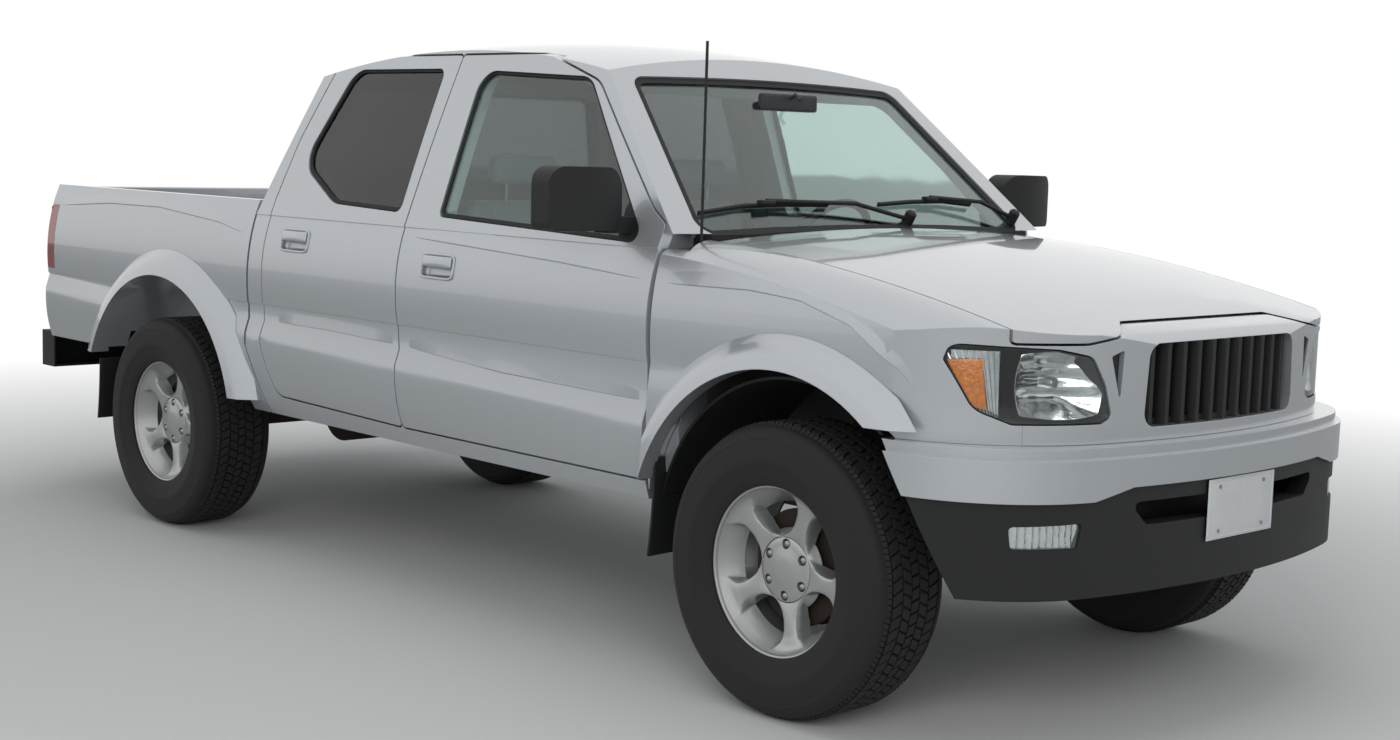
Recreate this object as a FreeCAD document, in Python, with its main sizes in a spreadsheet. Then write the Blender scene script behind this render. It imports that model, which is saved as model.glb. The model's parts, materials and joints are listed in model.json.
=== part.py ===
import FreeCAD, Part
import math
import os
import Sketcher
from FreeCAD import Placement, Rotation, Vector

# Four-door pickup truck on a ladder frame, in millimetres.
# +X points forward, +Y to the truck's left and +Z up.
# The origin is at ground level, midway along the truck's length and width.

doc = FreeCAD.newDocument("pickup_truck")
sheet = doc.addObject("Spreadsheet::Sheet", "sizes")

# Driving dimensions, one named value each. Places along the truck are distances behind
# the front axle, or ahead of it where the name says so, and heights are above the ground.
SIZES = {
    # Overall size
    "overall_length": 4980,
    "front_overhang": 790,
    "wheelbase": 3096,
    "overall_height": 1745,
    "body_half_width": 845,
    "overrun": 400,
    # Gaps and clearances
    "panel_gap": 6,
    "seat_gap": 0.3,
    # Tyres
    "track_half": 753,
    "tyre_radius": 376,
    "tyre_width": 266,
    "tread_half": 112,
    "bulge_radius": 290,
    "bead_half": 100,
    # Rims
    "rim_radius": 219,
    "rim_width": 196,
    "rim_wall": 9,
    "rim_edge": 106,
    "spoke_outset": 76,
    "spoke_thickness": 30,
    "hub_outset": 58,
    "mount_outset": 20,
    "hub_pad_radius": 98,
    "hub_bore": 54,
    "window_inner": 108,
    "window_outer": 184,
    "window_inner_half": 12,
    "window_outer_half": 60,
    # Knuckles and brake discs
    "kingpin_offset": 62,
    "hub_flange": 84,
    "spindle_end": 44,
    "disc_radius": 112,
    "disc_thickness": 24,
    "disc_inset": 14,
    "upright_height": 230,
    "upright_width": 70,
    "upright_thickness": 50,
    "brake_neck": 60,
    "hub_flange_thickness": 12,
    "arm_thickness": 26,
    "arm_half": 42,
    "arm_reach": 716,
    "kingpin_radius": 22,
    "carrier_radius": 45,
    # Ladder frame
    "rail_inner": 350,
    "rail_width": 78,
    "rail_depth": 111.7,
    "rail_low": 446,
    "rail_high": 548,
    "rail_front": 687.4,
    "rail_kick_start": 2560,
    "rail_kick_end": 2700,
    "rail_end": 3996,
    "crossmember_width": 90,
    "crossmember_depth": 70,
    "tower_half": 60,
    "tower_low": 229,
    "tube_low": 300,
    "tube_high": 380,
    "front_member": 560,
    "middle_member": 1500,
    "rear_member": 2740,
    "last_member": 3960,
    "member_depth": 36,
    # Rear axle and springs
    "axle_tube": 42,
    "diff_radius": 132,
    "diff_width": 190,
    "leaf_offset": 560,
    "leaf_width": 60,
    "leaf_thickness": 24,
    "leaf_front": 2600,
    "leaf_rear": 3690,
    "leaf_eye_height": 530,
    "leaf_seat": 60,
    "bracket_half": 30,
    "bracket_low": 490,
    "bracket_high": 600,
    "bracket_depth": 50,
    # Engine, exhaust, tank and driveshaft
    "engine_front": 470,
    "engine_rear": 330,
    "engine_half": 210,
    "engine_low": 440,
    "engine_top": 930,
    "engine_mount_low": 470,
    "engine_mount_high": 520,
    "engine_mount_half": 30,
    "gearbox_rear": 1250,
    "gearbox_half": 150,
    "gearbox_low": 420,
    "gearbox_top": 552,
    "shaft_radius": 38,
    "shaft_length": 1711,
    "exhaust_radius": 28,
    "exhaust_height": 486,
    "exhaust_offset": 245,
    "silencer_radius": 70,
    "silencer_front": 2100,
    "silencer_length": 520,
    "exhaust_end": 3520,
    "exhaust_front": 320,
    "hanger_back": 700,
    "hanger_half": 20,
    "tank_front": 1750,
    "tank_rear": 2420,
    "tank_inner": 428.3,
    "tank_outer": 690,
    "tank_low": 400,
    "tank_top": 545,
    # Body height levels
    "sill_bottom": 478,
    "floor_bottom": 558,
    "floor_thickness": 24,
    "belt": 1150,
    # Cab walls
    "skin_thickness": 24,
    "door_flange": 28,
    "door_thickness": 62,
    "door_lap": 40,
    "hinge_pad": 22,
    "hinge_pad_height": 60,
    "hinge_low": 700,
    "hinge_high": 960,
    "roof_thickness": 36,
    "glass_depth": 12,
    "glass_thickness": 5,
    # Cab plan and greenhouse
    "cab_front": 516,
    "cab_rear": 2545,
    "post_front": 410,
    "post_top": 1112,
    "firewall": 476,
    "firewall_thickness": 20,
    "firewall_top": 1138,
    "post_width": 110,
    "windshield_foot": 385,
    "windshield_bow": 7000,
    "rail_height": 1690,
    "rail_half": 600,
    "roof_crown": 46,
    "roof_bow": 4000,
    "side_barrel": 8,
    "tuck_half": 772,
    "tuck_level": 420,
    "sill_half": 830,
    "sill_swell": 560,
    "crease_low": 721,
    "crease_half": 829,
    "crease_high": 773,
    "crease_reach": 90,
    "waist": 850,
    "waist_half": 834,
    "shoulder": 1010,
    "shoulder_half": 834,
    "belt_half": 803,
    "wheel_cut": 640,
    # Front clip
    "nose": 735,
    "nose_bow": 2150,
    "nose_corner": 480,
    "clip_bottom": 756.3,
    "hood_half": 690,
    "hood_rear": 404,
    "hood_rear_height": 1206,
    "hood_crown": 30,
    "shoulder_drop": 86,
    "shoulder_push": 14,
    "hood_bow": 5300,
    "nose_roll": 100,
    "nose_roll_level": 925,
    "hood_hinge_drop": 34,
    "hood_hinge_back": 16,
    "hood_barrel": 8,
    "hood_barrel_offset": 600,
    "hood_barrel_half": 20,
    "hood_ear": 14,
    "cowl_half": 684,
    "grille_bar": 30,
    "grille_depth": 40,
    "grille_frame": 14,
    "grille_setback": 16,
    "antenna_back": 440,
    "antenna_offset": 722,
    "antenna_radius": 4,
    "antenna_base": 16,
    "antenna_base_height": 22,
    "antenna_top": 1700,
    "cowl_front": 370,
    "cowl_low": 1138.3,
    "cowl_lip": 1144,
    "cowl_step": 438,
    "cowl_rear": 510,
    "cowl_rear_level": 1191.7,
    "mirror_front": 620,
    "mirror_rear": 722,
    "mirror_inner": 822,
    "mirror_outer": 1076,
    "mirror_low": 1194,
    "mirror_high": 1362,
    "mirror_round": 46,
    "mirror_bow": 34,
    "mirror_margin": 9,
    "mirror_arm_front": 640,
    "mirror_arm_rear": 694,
    "mirror_arm_low": 1186,
    "mirror_arm_high": 1230,
    "mirror_arm_outer": 880,
    "bumper_reach": 790,
    "bumper_end_top": 333,
    "bumper_end_split": 406,
    "bumper_end_bottom": 529,
    "valance_setback": 12,
    "fog_depth": 50,
    "lamp_gap": 3,
    "tail_lamp_height": 250,
    "tail_lamp_width": 92,
    "tail_lamp_depth": 60,
    "tail_lamp_top": 1120,
    "rear_bumper_front": 4086,
    "rear_bumper_half": 800,
    "rear_bumper_top": 612,
    "rear_bumper_bottom": 470,
    "rear_bumper_wall": 8,
    "step_half": 330,
    "step_drop": 60,
    "ball_hole": 13,
    "ball_setback": 40,
    "fender_rear": 504,
    "lamp_depth": 110,
    "lamp_rear": 395,
    "header_half": 661,
    "header_rear": 380,
    # Arches and flares
    "front_arch": 508,
    "rear_arch": 530,
    "front_flare": 600,
    "rear_flare": 625,
    "flare_half_width": 893,
    "flare_edge": 12,
    "flare_back": 480,
    "flare_bottom": 500,
    "rear_flare_bottom": 520,
    "liner_outer": 812,
    "wheel_cut_level": 720,
    "bumper_step": 26,
    "bumper_step_depth": 14,
    "bumper_lip": 16,
    "bumper_shelf": 110,
    "bumper_split_middle": 658,
    "liner_radius": 478,
    "liner_wall": 8,
    "liner_inner": 446,
    # Bumpers
    "bumper_half": 868,
    "bumper_bow": 2300,
    "bumper_corner": 400,
    "bumper_top": 756,
    "bumper_split": 630,
    "bumper_wall": 50,
    "valance_bottom": 400,
    # Bed
    "bed_front": 2557,
    "bed_rear": 4060,
    "bed_top": 1198,
    "bed_wall": 96,
    "bed_front_wall": 50,
    "bed_floor": 690,
    "bed_floor_thickness": 30.3,
    "bed_skirt": 600,
    "wheelhouse_inner": 566,
    "wheelhouse_wall": 16,
    "tailgate_half": 705,
    "tailgate_thickness": 52,
    "tailgate_pin": 12,
    "tailgate_bottom": 638,
    # Interior
    "wheel_centre_back": 1010,
    "wheel_centre_offset": 380,
    "wheel_centre_height": 1090,
    "wheel_ring": 184,
    "wheel_tube": 14,
    "wheel_hub": 46,
    "wheel_hub_depth": 34,
    "wheel_spoke_half": 16,
    "column_radius": 26,
    "column_length": 200,
    "dash_front": 479,
    "dash_half": 640,
    "dash_low": 850,
    "dash_top": 1132,
    "dash_brow_back": 700,
    "dash_rear": 850,
    "dash_rear_level": 1090,
    "dash_knee": 1010,
    "dash_knee_back": 770,
    "seat_floor": 582.3,
    "seat_half": 240,
    "seat_offset": 380,
    "seat_front": 1160,
    "seat_cushion": 890,
    "seat_rear": 1600,
    "seat_back_top": 1400,
    "seat_back_lean": 150,
    "seat_back_depth": 110,
    "seat_base_inset": 60,
    "bench_half": 590,
    "bench_front": 1830,
    "bench_rear": 2280,
    "bench_cushion": 860,
    "bench_back_top": 1300,
    "bench_back_lean": 90,
    "bench_back_depth": 100,
}
ANGLES = {
    "door_cut_angle": 15,
    "rear_door_cut_angle": 15.5,
    "column_angle": 25,
    "hood_rear_slope": 3.3,
    "hood_front_slope": 18,
}
COUNTS = {
    "tyre_sides": 96,
    "spokes": 5,
    "grille_bars": 11,
}
# Slopes, as run or rise per unit of the other
CREASE_RISE_SHARE = 0.03
CREASE_REFERENCE_SHARE = 0.53

WINDSHIELD_LEAN = 1.097
REAR_LEAN = 0.30
ROOF_TOP_SHARE = 0.53

# Door and window outlines: distance behind the front axle as a share of wheelbase, height
# as a share of overall height, corner radius as a share of overall height
front_door_shares = [
    (0.1650, 0.304, 0.010),
    (0.1650, 0.697, 0.012),
    (0.1860, 0.719, 0.020),
    (0.3110, 0.918, 0.080),
    (0.4000, 0.966, 0.060),
    (0.5345, 0.966, 0.008),
    (0.5345, 0.304, 0.010),
]
rear_door_shares = [
    (0.5345, 0.304, 0.010),
    (0.5345, 0.966, 0.008),
    (0.7500, 0.966, 0.040),
    (0.7810, 0.805, 0.050),
    (0.7920, 0.690, 0.050),
    (0.7930, 0.410, 0.060),
    (0.7680, 0.314, 0.030),
]
front_window_shares = [
    (0.1860, 0.664, 0.016),
    (0.2080, 0.707, 0.020),
    (0.3250, 0.925, 0.060),
    (0.4950, 0.938, 0.040),
    (0.4920, 0.681, 0.014),
]
sail_shares = [
    (0.181, 0.659),
    (0.181, 0.814),
    (0.213, 0.762),
    (0.223, 0.716),
    (0.223, 0.659),
]
rear_window_shares = [
    (0.5570, 0.683, 0.016),
    (0.5570, 0.941, 0.018),
    (0.7180, 0.941, 0.050),
    (0.7620, 0.760, 0.050),
    (0.6800, 0.690, 0.100),
]
# Glazing outlines on the sloping panes: half width as a share of body half width, height
# as a share of overall height, corner radius as a share of overall height
windshield_shares = [
    (0.835, 0.690, 0.024),
    (0.664, 0.934, 0.030),
]
rear_glass_shares = [
    (0.790, 0.712, 0.040),
    (0.640, 0.918, 0.040),
]
# Front view outlines: half width as a share of body half width, height as a share of
# overall height, corner radius as a share of overall height
hood_edge_shares = [
    (0.816, 0.569, 0.006),
    (0.616, 0.569, 0.060),
    (0.500, 0.578, 0.020),
    (0.385, 0.592, 0.030),
]
grille_opening_shares = [
    (0.400, 0.452, 0.020),
    (0.385, 0.567, 0.022),
]
slot_shares = [
    (0.534, 0.552, 0.003),
    (0.486, 0.560, 0.003),
    (0.494, 0.487, 0.002),
]
lamp_shares = [
    (0.526, 0.470, 0.008),
    (0.552, 0.512, 0.020),
    (0.600, 0.551, 0.020),
    (0.700, 0.561, 0.030),
    (0.920, 0.566, 0.010),
    (0.928, 0.545, 0.008),
    (0.880, 0.480, 0.030),
    (0.806, 0.462, 0.008),
    (0.560, 0.462, 0.008),
]
bumper_split_shares = (0.500, 0.640)
intake_shares = [
    (0.430, 0.322, 0.010),
    (0.500, 0.355, 0.008),
]
fog_shares = [
    (0.680, 0.298, 0.006),
    (0.666, 0.333, 0.006),
    (0.862, 0.330, 0.006),
    (0.854, 0.298, 0.006),
]

row = 1
for table in (SIZES, ANGLES, COUNTS):
    for alias, value in table.items():
        sheet.set("A%d" % row, alias)
        sheet.set("B%d" % row, str(value))
        sheet.setAlias("B%d" % row, alias)
        row += 1
doc.recompute()


def size(alias):
    """A driving dimension, read from the sheet."""
    return float(sheet.get(alias))


# Places that several pieces share
FRONT_AXLE = size("overall_length") / 2 - size("front_overhang")
REAR_AXLE = FRONT_AXLE - size("wheelbase")
HUB_HEIGHT = size("tyre_radius")
GAP = size("panel_gap")
SEAT = size("seat_gap")
OVERRUN = size("overrun")


def behind(distance):
    """X of a place that lies this far behind the front axle."""
    return FRONT_AXLE - distance


def along(share):
    """X of a place given as a share of the wheelbase behind the front axle."""
    return FRONT_AXLE - share * size("wheelbase")


def high(share):
    """Height given as a share of the overall height."""
    return share * size("overall_height")


def across(share):
    """Half width given as a share of the body half width."""
    return share * size("body_half_width")


def rounded_wire(corners, place):
    """Closed wire through (u, v, radius) corners, each rounded, put in space by place(u, v)."""
    points = [Vector(u, v, 0) for u, v, radius in corners]
    arcs = []
    for index, corner in enumerate(corners):
        point = points[index]
        back = (points[index - 1] - point).normalize()
        ahead = (points[(index + 1) % len(points)] - point).normalize()
        half_angle = back.getAngle(ahead) / 2
        run = corner[2] / math.tan(half_angle)
        start = point + back * run
        end = point + ahead * run
        bisector = (back + ahead).normalize()
        middle = point + bisector * (corner[2] / math.sin(half_angle) - corner[2])
        arcs.append((start, middle, end))
    edges = []
    for index, (start, middle, end) in enumerate(arcs):
        last_end = arcs[index - 1][2]
        if last_end.distanceToPoint(start) > SEAT:
            edges.append(Part.LineSegment(place(last_end.x, last_end.y), place(start.x, start.y)).toShape())
        elif last_end.distanceToPoint(start) > 0:
            start = last_end
        if start.distanceToPoint(end) > SEAT:
            edges.append(Part.Arc(place(start.x, start.y), place(middle.x, middle.y),
                                  place(end.x, end.y)).toShape())
    return Part.Wire(Part.__sortEdges__(edges))


def prism(wire, way):
    """Solid swept from a flat closed wire."""
    return Part.Face(wire).extrude(way)


def box(low, high_corner):
    """Box between two corners."""
    return Part.makeBox(high_corner[0] - low[0], high_corner[1] - low[1], high_corner[2] - low[2],
                        Vector(*low))


def mirrored(shape):
    """The shape on the truck's other side."""
    return shape.mirror(Vector(0, 0, 0), Vector(0, 1, 0))


def both_sides(shape):
    """The shape and its mirror image, as one compound."""
    return Part.makeCompound([shape, mirrored(shape)])


def add_part(label, shape):
    """Put a shape in the document as a sub-part of its own."""
    feature = doc.addObject("Part::Feature", label)
    feature.Label = label
    feature.Shape = shape
    feature.Placement = Placement(Vector(0, 0, 0), Rotation())
    return feature


def bend(start, through, end, inset=0):
    """Edges of a curve through three points, drawn as two chords on hidden inner surfaces."""
    if inset >= size("skin_thickness"):
        return [Part.LineSegment(start, through).toShape(), Part.LineSegment(through, end).toShape()]
    return [Part.Arc(start, through, end).toShape()]


def section_face(corners, inset):
    """Flat face across the truck, symmetric about its middle, drawn in by inset.

    Corners run up the left side as (half width, height, middle), where middle is None for a
    straight run from the last corner, or the point that a curve from it passes through."""
    edges = []
    for last, corner in zip(corners, corners[1:]):
        half, level, middle = corner
        for way in (1, -1):
            start = Vector(0, way * last[0], last[1])
            end = Vector(0, way * half, level)
            if middle is None:
                edges.append(Part.LineSegment(start, end).toShape())
            else:
                through = Vector(0, way * middle[0], middle[1])
                edges += bend(start, through, end, inset)
    for half, level, middle in (corners[0], corners[-1]):
        edges.append(Part.LineSegment(Vector(0, half, level), Vector(0, -half, level)).toShape())
    face = Part.Face(Part.Wire(Part.__sortEdges__(edges)))
    if inset:
        face = face.makeOffset2D(-inset)
    return face


def extruded(face, x_from, x_to, rise=0):
    """Face across the truck swept forward, its lines rising rearwards about the crease's reference."""
    reference = along(CREASE_REFERENCE_SHARE)
    face = face.copy()
    face.translate(Vector(x_from, 0, rise * (reference - x_from)))
    run = x_to - x_from
    return face.extrude(Vector(run, 0, -rise * run))


def lower_side(rear, front, inset=0):
    """Body below the crease's upper edge, whose lines rise rearwards."""
    corners = [
        (size("tuck_half"), size("tuck_level"), None),
        (size("body_half_width"), size("crease_low"), (size("sill_half"), size("sill_swell"))),
        (size("crease_half"), size("crease_high"), None),
        (size("waist_half"), size("waist") + size("crease_reach"), None),
    ]
    return extruded(section_face(corners, inset), rear, front, CREASE_RISE_SHARE)


def upper_side(rear, front, inset=0):
    """Body from the waist up to the belt, and a little past both, drawn in by inset."""
    corners = [
        (size("waist_half"), size("waist") - size("crease_reach"), None),
        (size("waist_half"), size("waist"), None),
        (size("belt_half"), size("belt"), (size("shoulder_half"), size("shoulder"))),
        (size("belt_half") - size("crease_reach") * side_lean(), size("belt") + size("crease_reach"), None),
    ]
    return extruded(section_face(corners, inset), rear, front)


def side_lean():
    """Inward lean of the greenhouse side per unit of height."""
    return (size("belt_half") - size("rail_half")) / (size("rail_height") - size("belt"))


def slab(low, high_level):
    """Everything between two heights."""
    reach = size("overall_length")
    return box((-reach, -reach, low), (reach, reach, high_level))


def body_side(rear, front, inset=0, bottom=None):
    """Lower and upper side of the body as one solid from its bottom to the belt."""
    if bottom is None:
        bottom = size("sill_bottom")
    lower = lower_side(rear, front, inset).common(slab(bottom, size("waist")))
    upper = upper_side(rear, front, inset).common(slab(size("waist"), size("belt")))
    return lower.fuse(upper)


def windshield_x(level):
    """X of the windshield's middle at a height."""
    return behind(size("windshield_foot") + WINDSHIELD_LEAN * (level - size("belt")))


def rear_pane_x(level):
    """X of the cab's rear at a height above the belt."""
    return behind(size("cab_rear")) + REAR_LEAN * (level - size("belt"))


def roof_block(drop):
    """Solid under the roof, crowned both ways, its top lowered by drop."""
    middle = along(ROOF_TOP_SHARE)
    top = size("overall_height") - drop
    side = size("body_half_width")
    fall = size("roof_crown") * (side / size("rail_half")) ** 2
    base = size("belt") - size("crease_reach")
    quarter = Vector(middle, side / 2, top - fall / 4)
    opposite = Vector(middle, -side / 2, top - fall / 4)
    corners = [Vector(middle, side, top - fall), Vector(middle, side, base), Vector(middle, -side, base),
               Vector(middle, -side, top - fall)]
    if drop >= size("skin_thickness"):
        corners += [opposite, quarter, corners[0]]
        edges = []
    else:
        edges = bend(corners[3], Vector(middle, 0, top), corners[0])
    for start, end in zip(corners, corners[1:]):
        edges.append(Part.LineSegment(start, end).toShape())
    face = Part.Face(Part.Wire(edges))
    hub = Vector(middle, 0, size("overall_height") - size("roof_bow"))
    sweep = math.degrees(size("wheelbase") / 2 / size("roof_bow"))
    face.rotate(hub, Vector(0, 1, 0), -sweep)
    return face.revolve(hub, Vector(0, 1, 0), 2 * sweep)


def greenhouse_section(inset):
    """Section of the cab's sides above the belt, drawn in by inset."""
    top = size("overall_height") + size("crease_reach")
    base = size("belt") - size("crease_reach")
    lean = side_lean()
    middle_level = (base + top) / 2
    return section_face([
        (size("belt_half") + size("crease_reach") * lean, base, None),
        (size("belt_half") - (top - size("belt")) * lean, top,
         (size("belt_half") - (middle_level - size("belt")) * lean + size("side_barrel"), middle_level)),
    ], inset)


def greenhouse(inset, roof_drop):
    """Upper cab block between belt and roof, drawn in by inset."""
    top = size("overall_height") + size("crease_reach")
    base = size("belt") - size("crease_reach")
    height = top - base
    block = extruded(greenhouse_section(inset), rear_pane_x(base), windshield_x(base) + OVERRUN)
    # Everything behind the bowed windshield
    bow = size("windshield_bow")
    edge_y = size("body_half_width") + OVERRUN
    sag = bow - math.sqrt(bow ** 2 - edge_y ** 2)
    tip = windshield_x(base) - inset * math.sqrt(1 + WINDSHIELD_LEAN ** 2)
    far = tip - size("overall_length")
    corners = [Vector(tip - sag, edge_y, base), Vector(far, edge_y, base), Vector(far, -edge_y, base),
               Vector(tip - sag, -edge_y, base)]
    if inset >= size("skin_thickness"):
        half_y = edge_y / 2
        corners += [Vector(tip - sag / 4, -half_y, base), Vector(tip - sag / 4, half_y, base), corners[0]]
        edges = []
    else:
        edges = bend(corners[3], Vector(tip, 0, base), corners[0])
    for start, end in zip(corners, corners[1:]):
        edges.append(Part.LineSegment(start, end).toShape())
    behind_screen = prism(Part.Wire(edges), Vector(-WINDSHIELD_LEAN * height, 0, height))
    # Everything ahead of the rear pane
    foot = rear_pane_x(base) + inset
    outline = Part.makePolygon([
        Vector(foot, -edge_y, base), Vector(foot + size("overall_length"), -edge_y, base),
        Vector(foot + size("overall_length"), edge_y, base), Vector(foot, edge_y, base),
        Vector(foot, -edge_y, base)])
    ahead = prism(outline, Vector(REAR_LEAN * height, 0, height))
    block = block.common(behind_screen).common(ahead).common(roof_block(roof_drop))
    return block.common(slab(size("belt"), top))


def side_block(inset):
    """Everything between the cab's sides, drawn in by inset, whatever its roof and panes."""
    rear = behind(size("cab_rear")) - OVERRUN
    lower = lower_side(rear, FRONT_AXLE, inset).common(slab(0, size("waist")))
    upper = upper_side(rear, FRONT_AXLE, inset).common(slab(size("waist"), size("belt")))
    top = extruded(greenhouse_section(inset), rear, FRONT_AXLE)
    return lower.fuse([upper, top.common(slab(size("belt"), size("overall_height")))])


def cab_block(inset, roof_drop):
    """Whole form of the cab, drawn in by inset."""
    side = body_side(behind(size("cab_rear")) + inset, behind(size("cab_front")), inset)
    return side.fuse(greenhouse(inset, roof_drop))


# Outlines seen from the side, each cut straight across or slanting
def side_corners(shares):
    """Corners (x, z, radius) of a side outline given in shares."""
    return [(along(x_share), high(z_share), high(radius)) for x_share, z_share, radius in shares]


def plain(corners):
    """The same outline with sharp corners, for hidden inner edges."""
    return [(u, v, 0) for u, v, radius in corners]


def skin_half(level):
    """Half width of the body's skin at a height."""
    table = [
        (size("sill_bottom"), size("sill_half")),
        (size("crease_low"), size("body_half_width")),
        (size("waist"), size("waist_half")),
        (size("shoulder"), size("shoulder_half")),
        (size("belt"), size("belt_half")),
        (size("rail_height"), size("rail_half")),
    ]
    for (low, low_half), (top, top_half) in zip(table, table[1:]):
        if level <= top:
            return low_half + (top_half - low_half) * (level - low) / (top - low)
    return size("rail_half")


def side_prism(corners, grow=0, angle=0):
    """Prism through the left side of the body along an outline, grown all round.

    With an angle its walls slant forward towards the inside, as a door's edges do."""
    slope = math.tan(math.radians(angle))
    start = size("body_half_width") + size("panel_gap")
    flat = Part.Face(rounded_wire(corners, lambda x, z: Vector(x, z, 0)))
    if grow:
        flat = flat.makeOffset2D(grow)
    edges = []
    for edge in flat.OuterWire.OrderedEdges:
        ends = [edge.valueAt(edge.FirstParameter), edge.valueAt(edge.LastParameter)]
        middle = edge.valueAt((edge.FirstParameter + edge.LastParameter) / 2)
        put = [Vector(p.x - slope * (start - skin_half(p.y)), start, p.y) for p in (ends[0], middle, ends[1])]
        if edge.Curve.TypeId == "Part::GeomLine":
            edges.append(Part.LineSegment(put[0], put[2]).toShape())
        else:
            edges.append(Part.Arc(put[0], put[1], put[2]).toShape())
    depth = size("body_half_width") - size("rail_half") + size("door_thickness") + size("door_flange")
    wire = Part.Wire(Part.__sortEdges__(edges))
    return prism(wire, Vector(slope * depth, -depth, 0))


def front_prism(half_corners, grow=0, x_from=None, x_to=None):
    """Prism along the truck through an outline given as (y, z, radius)."""
    if x_from is None:
        x_from = behind(size("header_rear"))
    if x_to is None:
        x_to = FRONT_AXLE + size("front_overhang") + OVERRUN
    face = Part.Face(rounded_wire(half_corners, lambda y, z: Vector(x_from, y, z)))
    if grow:
        face = face.makeOffset2D(grow)
    return face.extrude(Vector(x_to - x_from, 0, 0))


def front_corners(shares):
    """Corners (y, z, radius) of a front view outline given in shares, on the left."""
    return [(across(y_share), high(z_share), high(radius)) for y_share, z_share, radius in shares]


def symmetric_corners(shares):
    """Corners of an outline symmetric about the middle, from its left half in shares."""
    left = front_corners(shares)
    right = [(-y, z, radius) for y, z, radius in reversed(left)]
    return left + right


def pane_prism(shares, x_at, lean, reach, grow=0):
    """Prism square to a sloping pane, through a symmetric outline given in shares."""
    face = Part.Face(rounded_wire(symmetric_corners(shares), lambda y, z: Vector(x_at(z), y, z)))
    if grow:
        face = face.makeOffset2D(grow)
    square = Vector(1, 0, lean).normalize()
    face.translate(square * reach)
    return face.extrude(square * (-2 * reach))


def axle_cylinder(x, radius, y_from, y_to, level=None):
    """Cylinder across the truck about an axle."""
    if level is None:
        level = HUB_HEIGHT
    return Part.makeCylinder(radius, y_to - y_from, Vector(x, y_from, level), Vector(0, 1, 0))


# Cab
outer_cab = cab_block(0, 0)
flange_room = side_block(size("door_flange"))
hinge_skin = flange_room.cut(side_block(size("door_flange") + GAP - SEAT))
door_room = side_block(size("door_thickness"))
inner_cab = cab_block(size("door_thickness"), size("roof_thickness"))
glass_front = cab_block(size("glass_depth"), size("glass_depth"))
glass_back = cab_block(size("glass_depth") + size("glass_thickness"),
                       size("glass_depth") + size("glass_thickness"))
upper_glass_front = greenhouse(size("glass_depth"), size("glass_depth"))
upper_glass_back = greenhouse(size("glass_depth") + size("glass_thickness"),
                              size("glass_depth") + size("glass_thickness"))

front_door_outline = side_corners(front_door_shares)
rear_door_outline = side_corners(rear_door_shares)
front_angle = size("door_cut_angle")
rear_angle = size("rear_door_cut_angle")
front_door_hole = side_prism(front_door_outline, GAP / 2, front_angle)
rear_door_hole = side_prism(rear_door_outline, GAP / 2, rear_angle)
front_door_inner_hole = side_prism(plain(front_door_outline), GAP / 2 - size("door_lap"), front_angle)
rear_door_inner_hole = side_prism(plain(rear_door_outline), GAP / 2 - size("door_lap"), rear_angle)
door_holes = front_door_hole.fuse(rear_door_hole)
outer_zone = door_holes.cut(side_block(size("door_flange") + GAP))
inner_zone = front_door_inner_hole.fuse(rear_door_inner_hole).cut(side_block(size("door_thickness") + GAP))

windshield_hole = pane_prism(windshield_shares, windshield_x, WINDSHIELD_LEAN, size("door_thickness") * 2)
rear_glass_hole = pane_prism(rear_glass_shares, rear_pane_x, -REAR_LEAN, size("door_thickness") * 2)


def wheel_cut(radius, x, y_from, y_to):
    """Cylinder that frees a wheel on the left side."""
    return axle_cylinder(x, radius, y_from, y_to)


def largest(shape):
    """The largest solid of a shape, without the slivers that crossing cuts leave."""
    return max(shape.Solids, key=lambda solid: solid.Volume)


def front_posts():
    """Hinge posts inside the fenders, with the firewall between them."""
    rear = behind(size("cab_front")) - GAP
    block = body_side(rear, behind(size("post_front")), size("skin_thickness") + GAP, size("floor_bottom"))
    block = block.common(slab(size("floor_bottom"), size("firewall_top")))
    half = size("body_half_width") - size("skin_thickness") - size("post_width")
    wall_rear = behind(size("firewall"))
    wall_front = wall_rear + size("firewall_thickness")
    inside = box((rear - GAP, -half, size("floor_bottom") + size("floor_thickness")),
                 (wall_rear, half, size("firewall_top") + GAP))
    ahead = box((wall_front, -half, 0), (FRONT_AXLE, half, size("firewall_top") + GAP))
    reach = size("body_half_width")
    above = box((rear - GAP, half, size("post_top")), (FRONT_AXLE, reach, size("firewall_top") + GAP))
    liner = axle_cylinder(FRONT_AXLE, size("liner_radius") + size("liner_wall") + SEAT, -reach, reach)
    return block.cut([inside, ahead, above, mirrored(above), liner])


def cab_shell():
    """Cab with floor, sills, posts, roof and rear wall, its doors and panes cut out."""
    reach = size("body_half_width") + OVERRUN
    floor_top = size("floor_bottom") + size("floor_thickness")
    room = inner_cab.common(slab(floor_top, size("overall_height")))
    foot = box((behind(size("cab_front")), -reach, 0),
               (FRONT_AXLE, reach, high(windshield_shares[0][1]) - size("glass_depth")))
    under_half = size("body_half_width") - size("door_thickness") * 2
    under = box((REAR_AXLE, -under_half, 0), (FRONT_AXLE, under_half, size("floor_bottom")))
    shell = outer_cab.cut(room).cut(foot).cut(under).fuse(front_posts())
    shell = shell.cut(windshield_hole).cut(rear_glass_hole)
    for hole in (outer_zone, inner_zone):
        shell = shell.cut(hole).cut(mirrored(hole))
    return largest(shell.cut(wheel_cut(size("wheel_cut"), REAR_AXLE, -reach, reach)))


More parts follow.
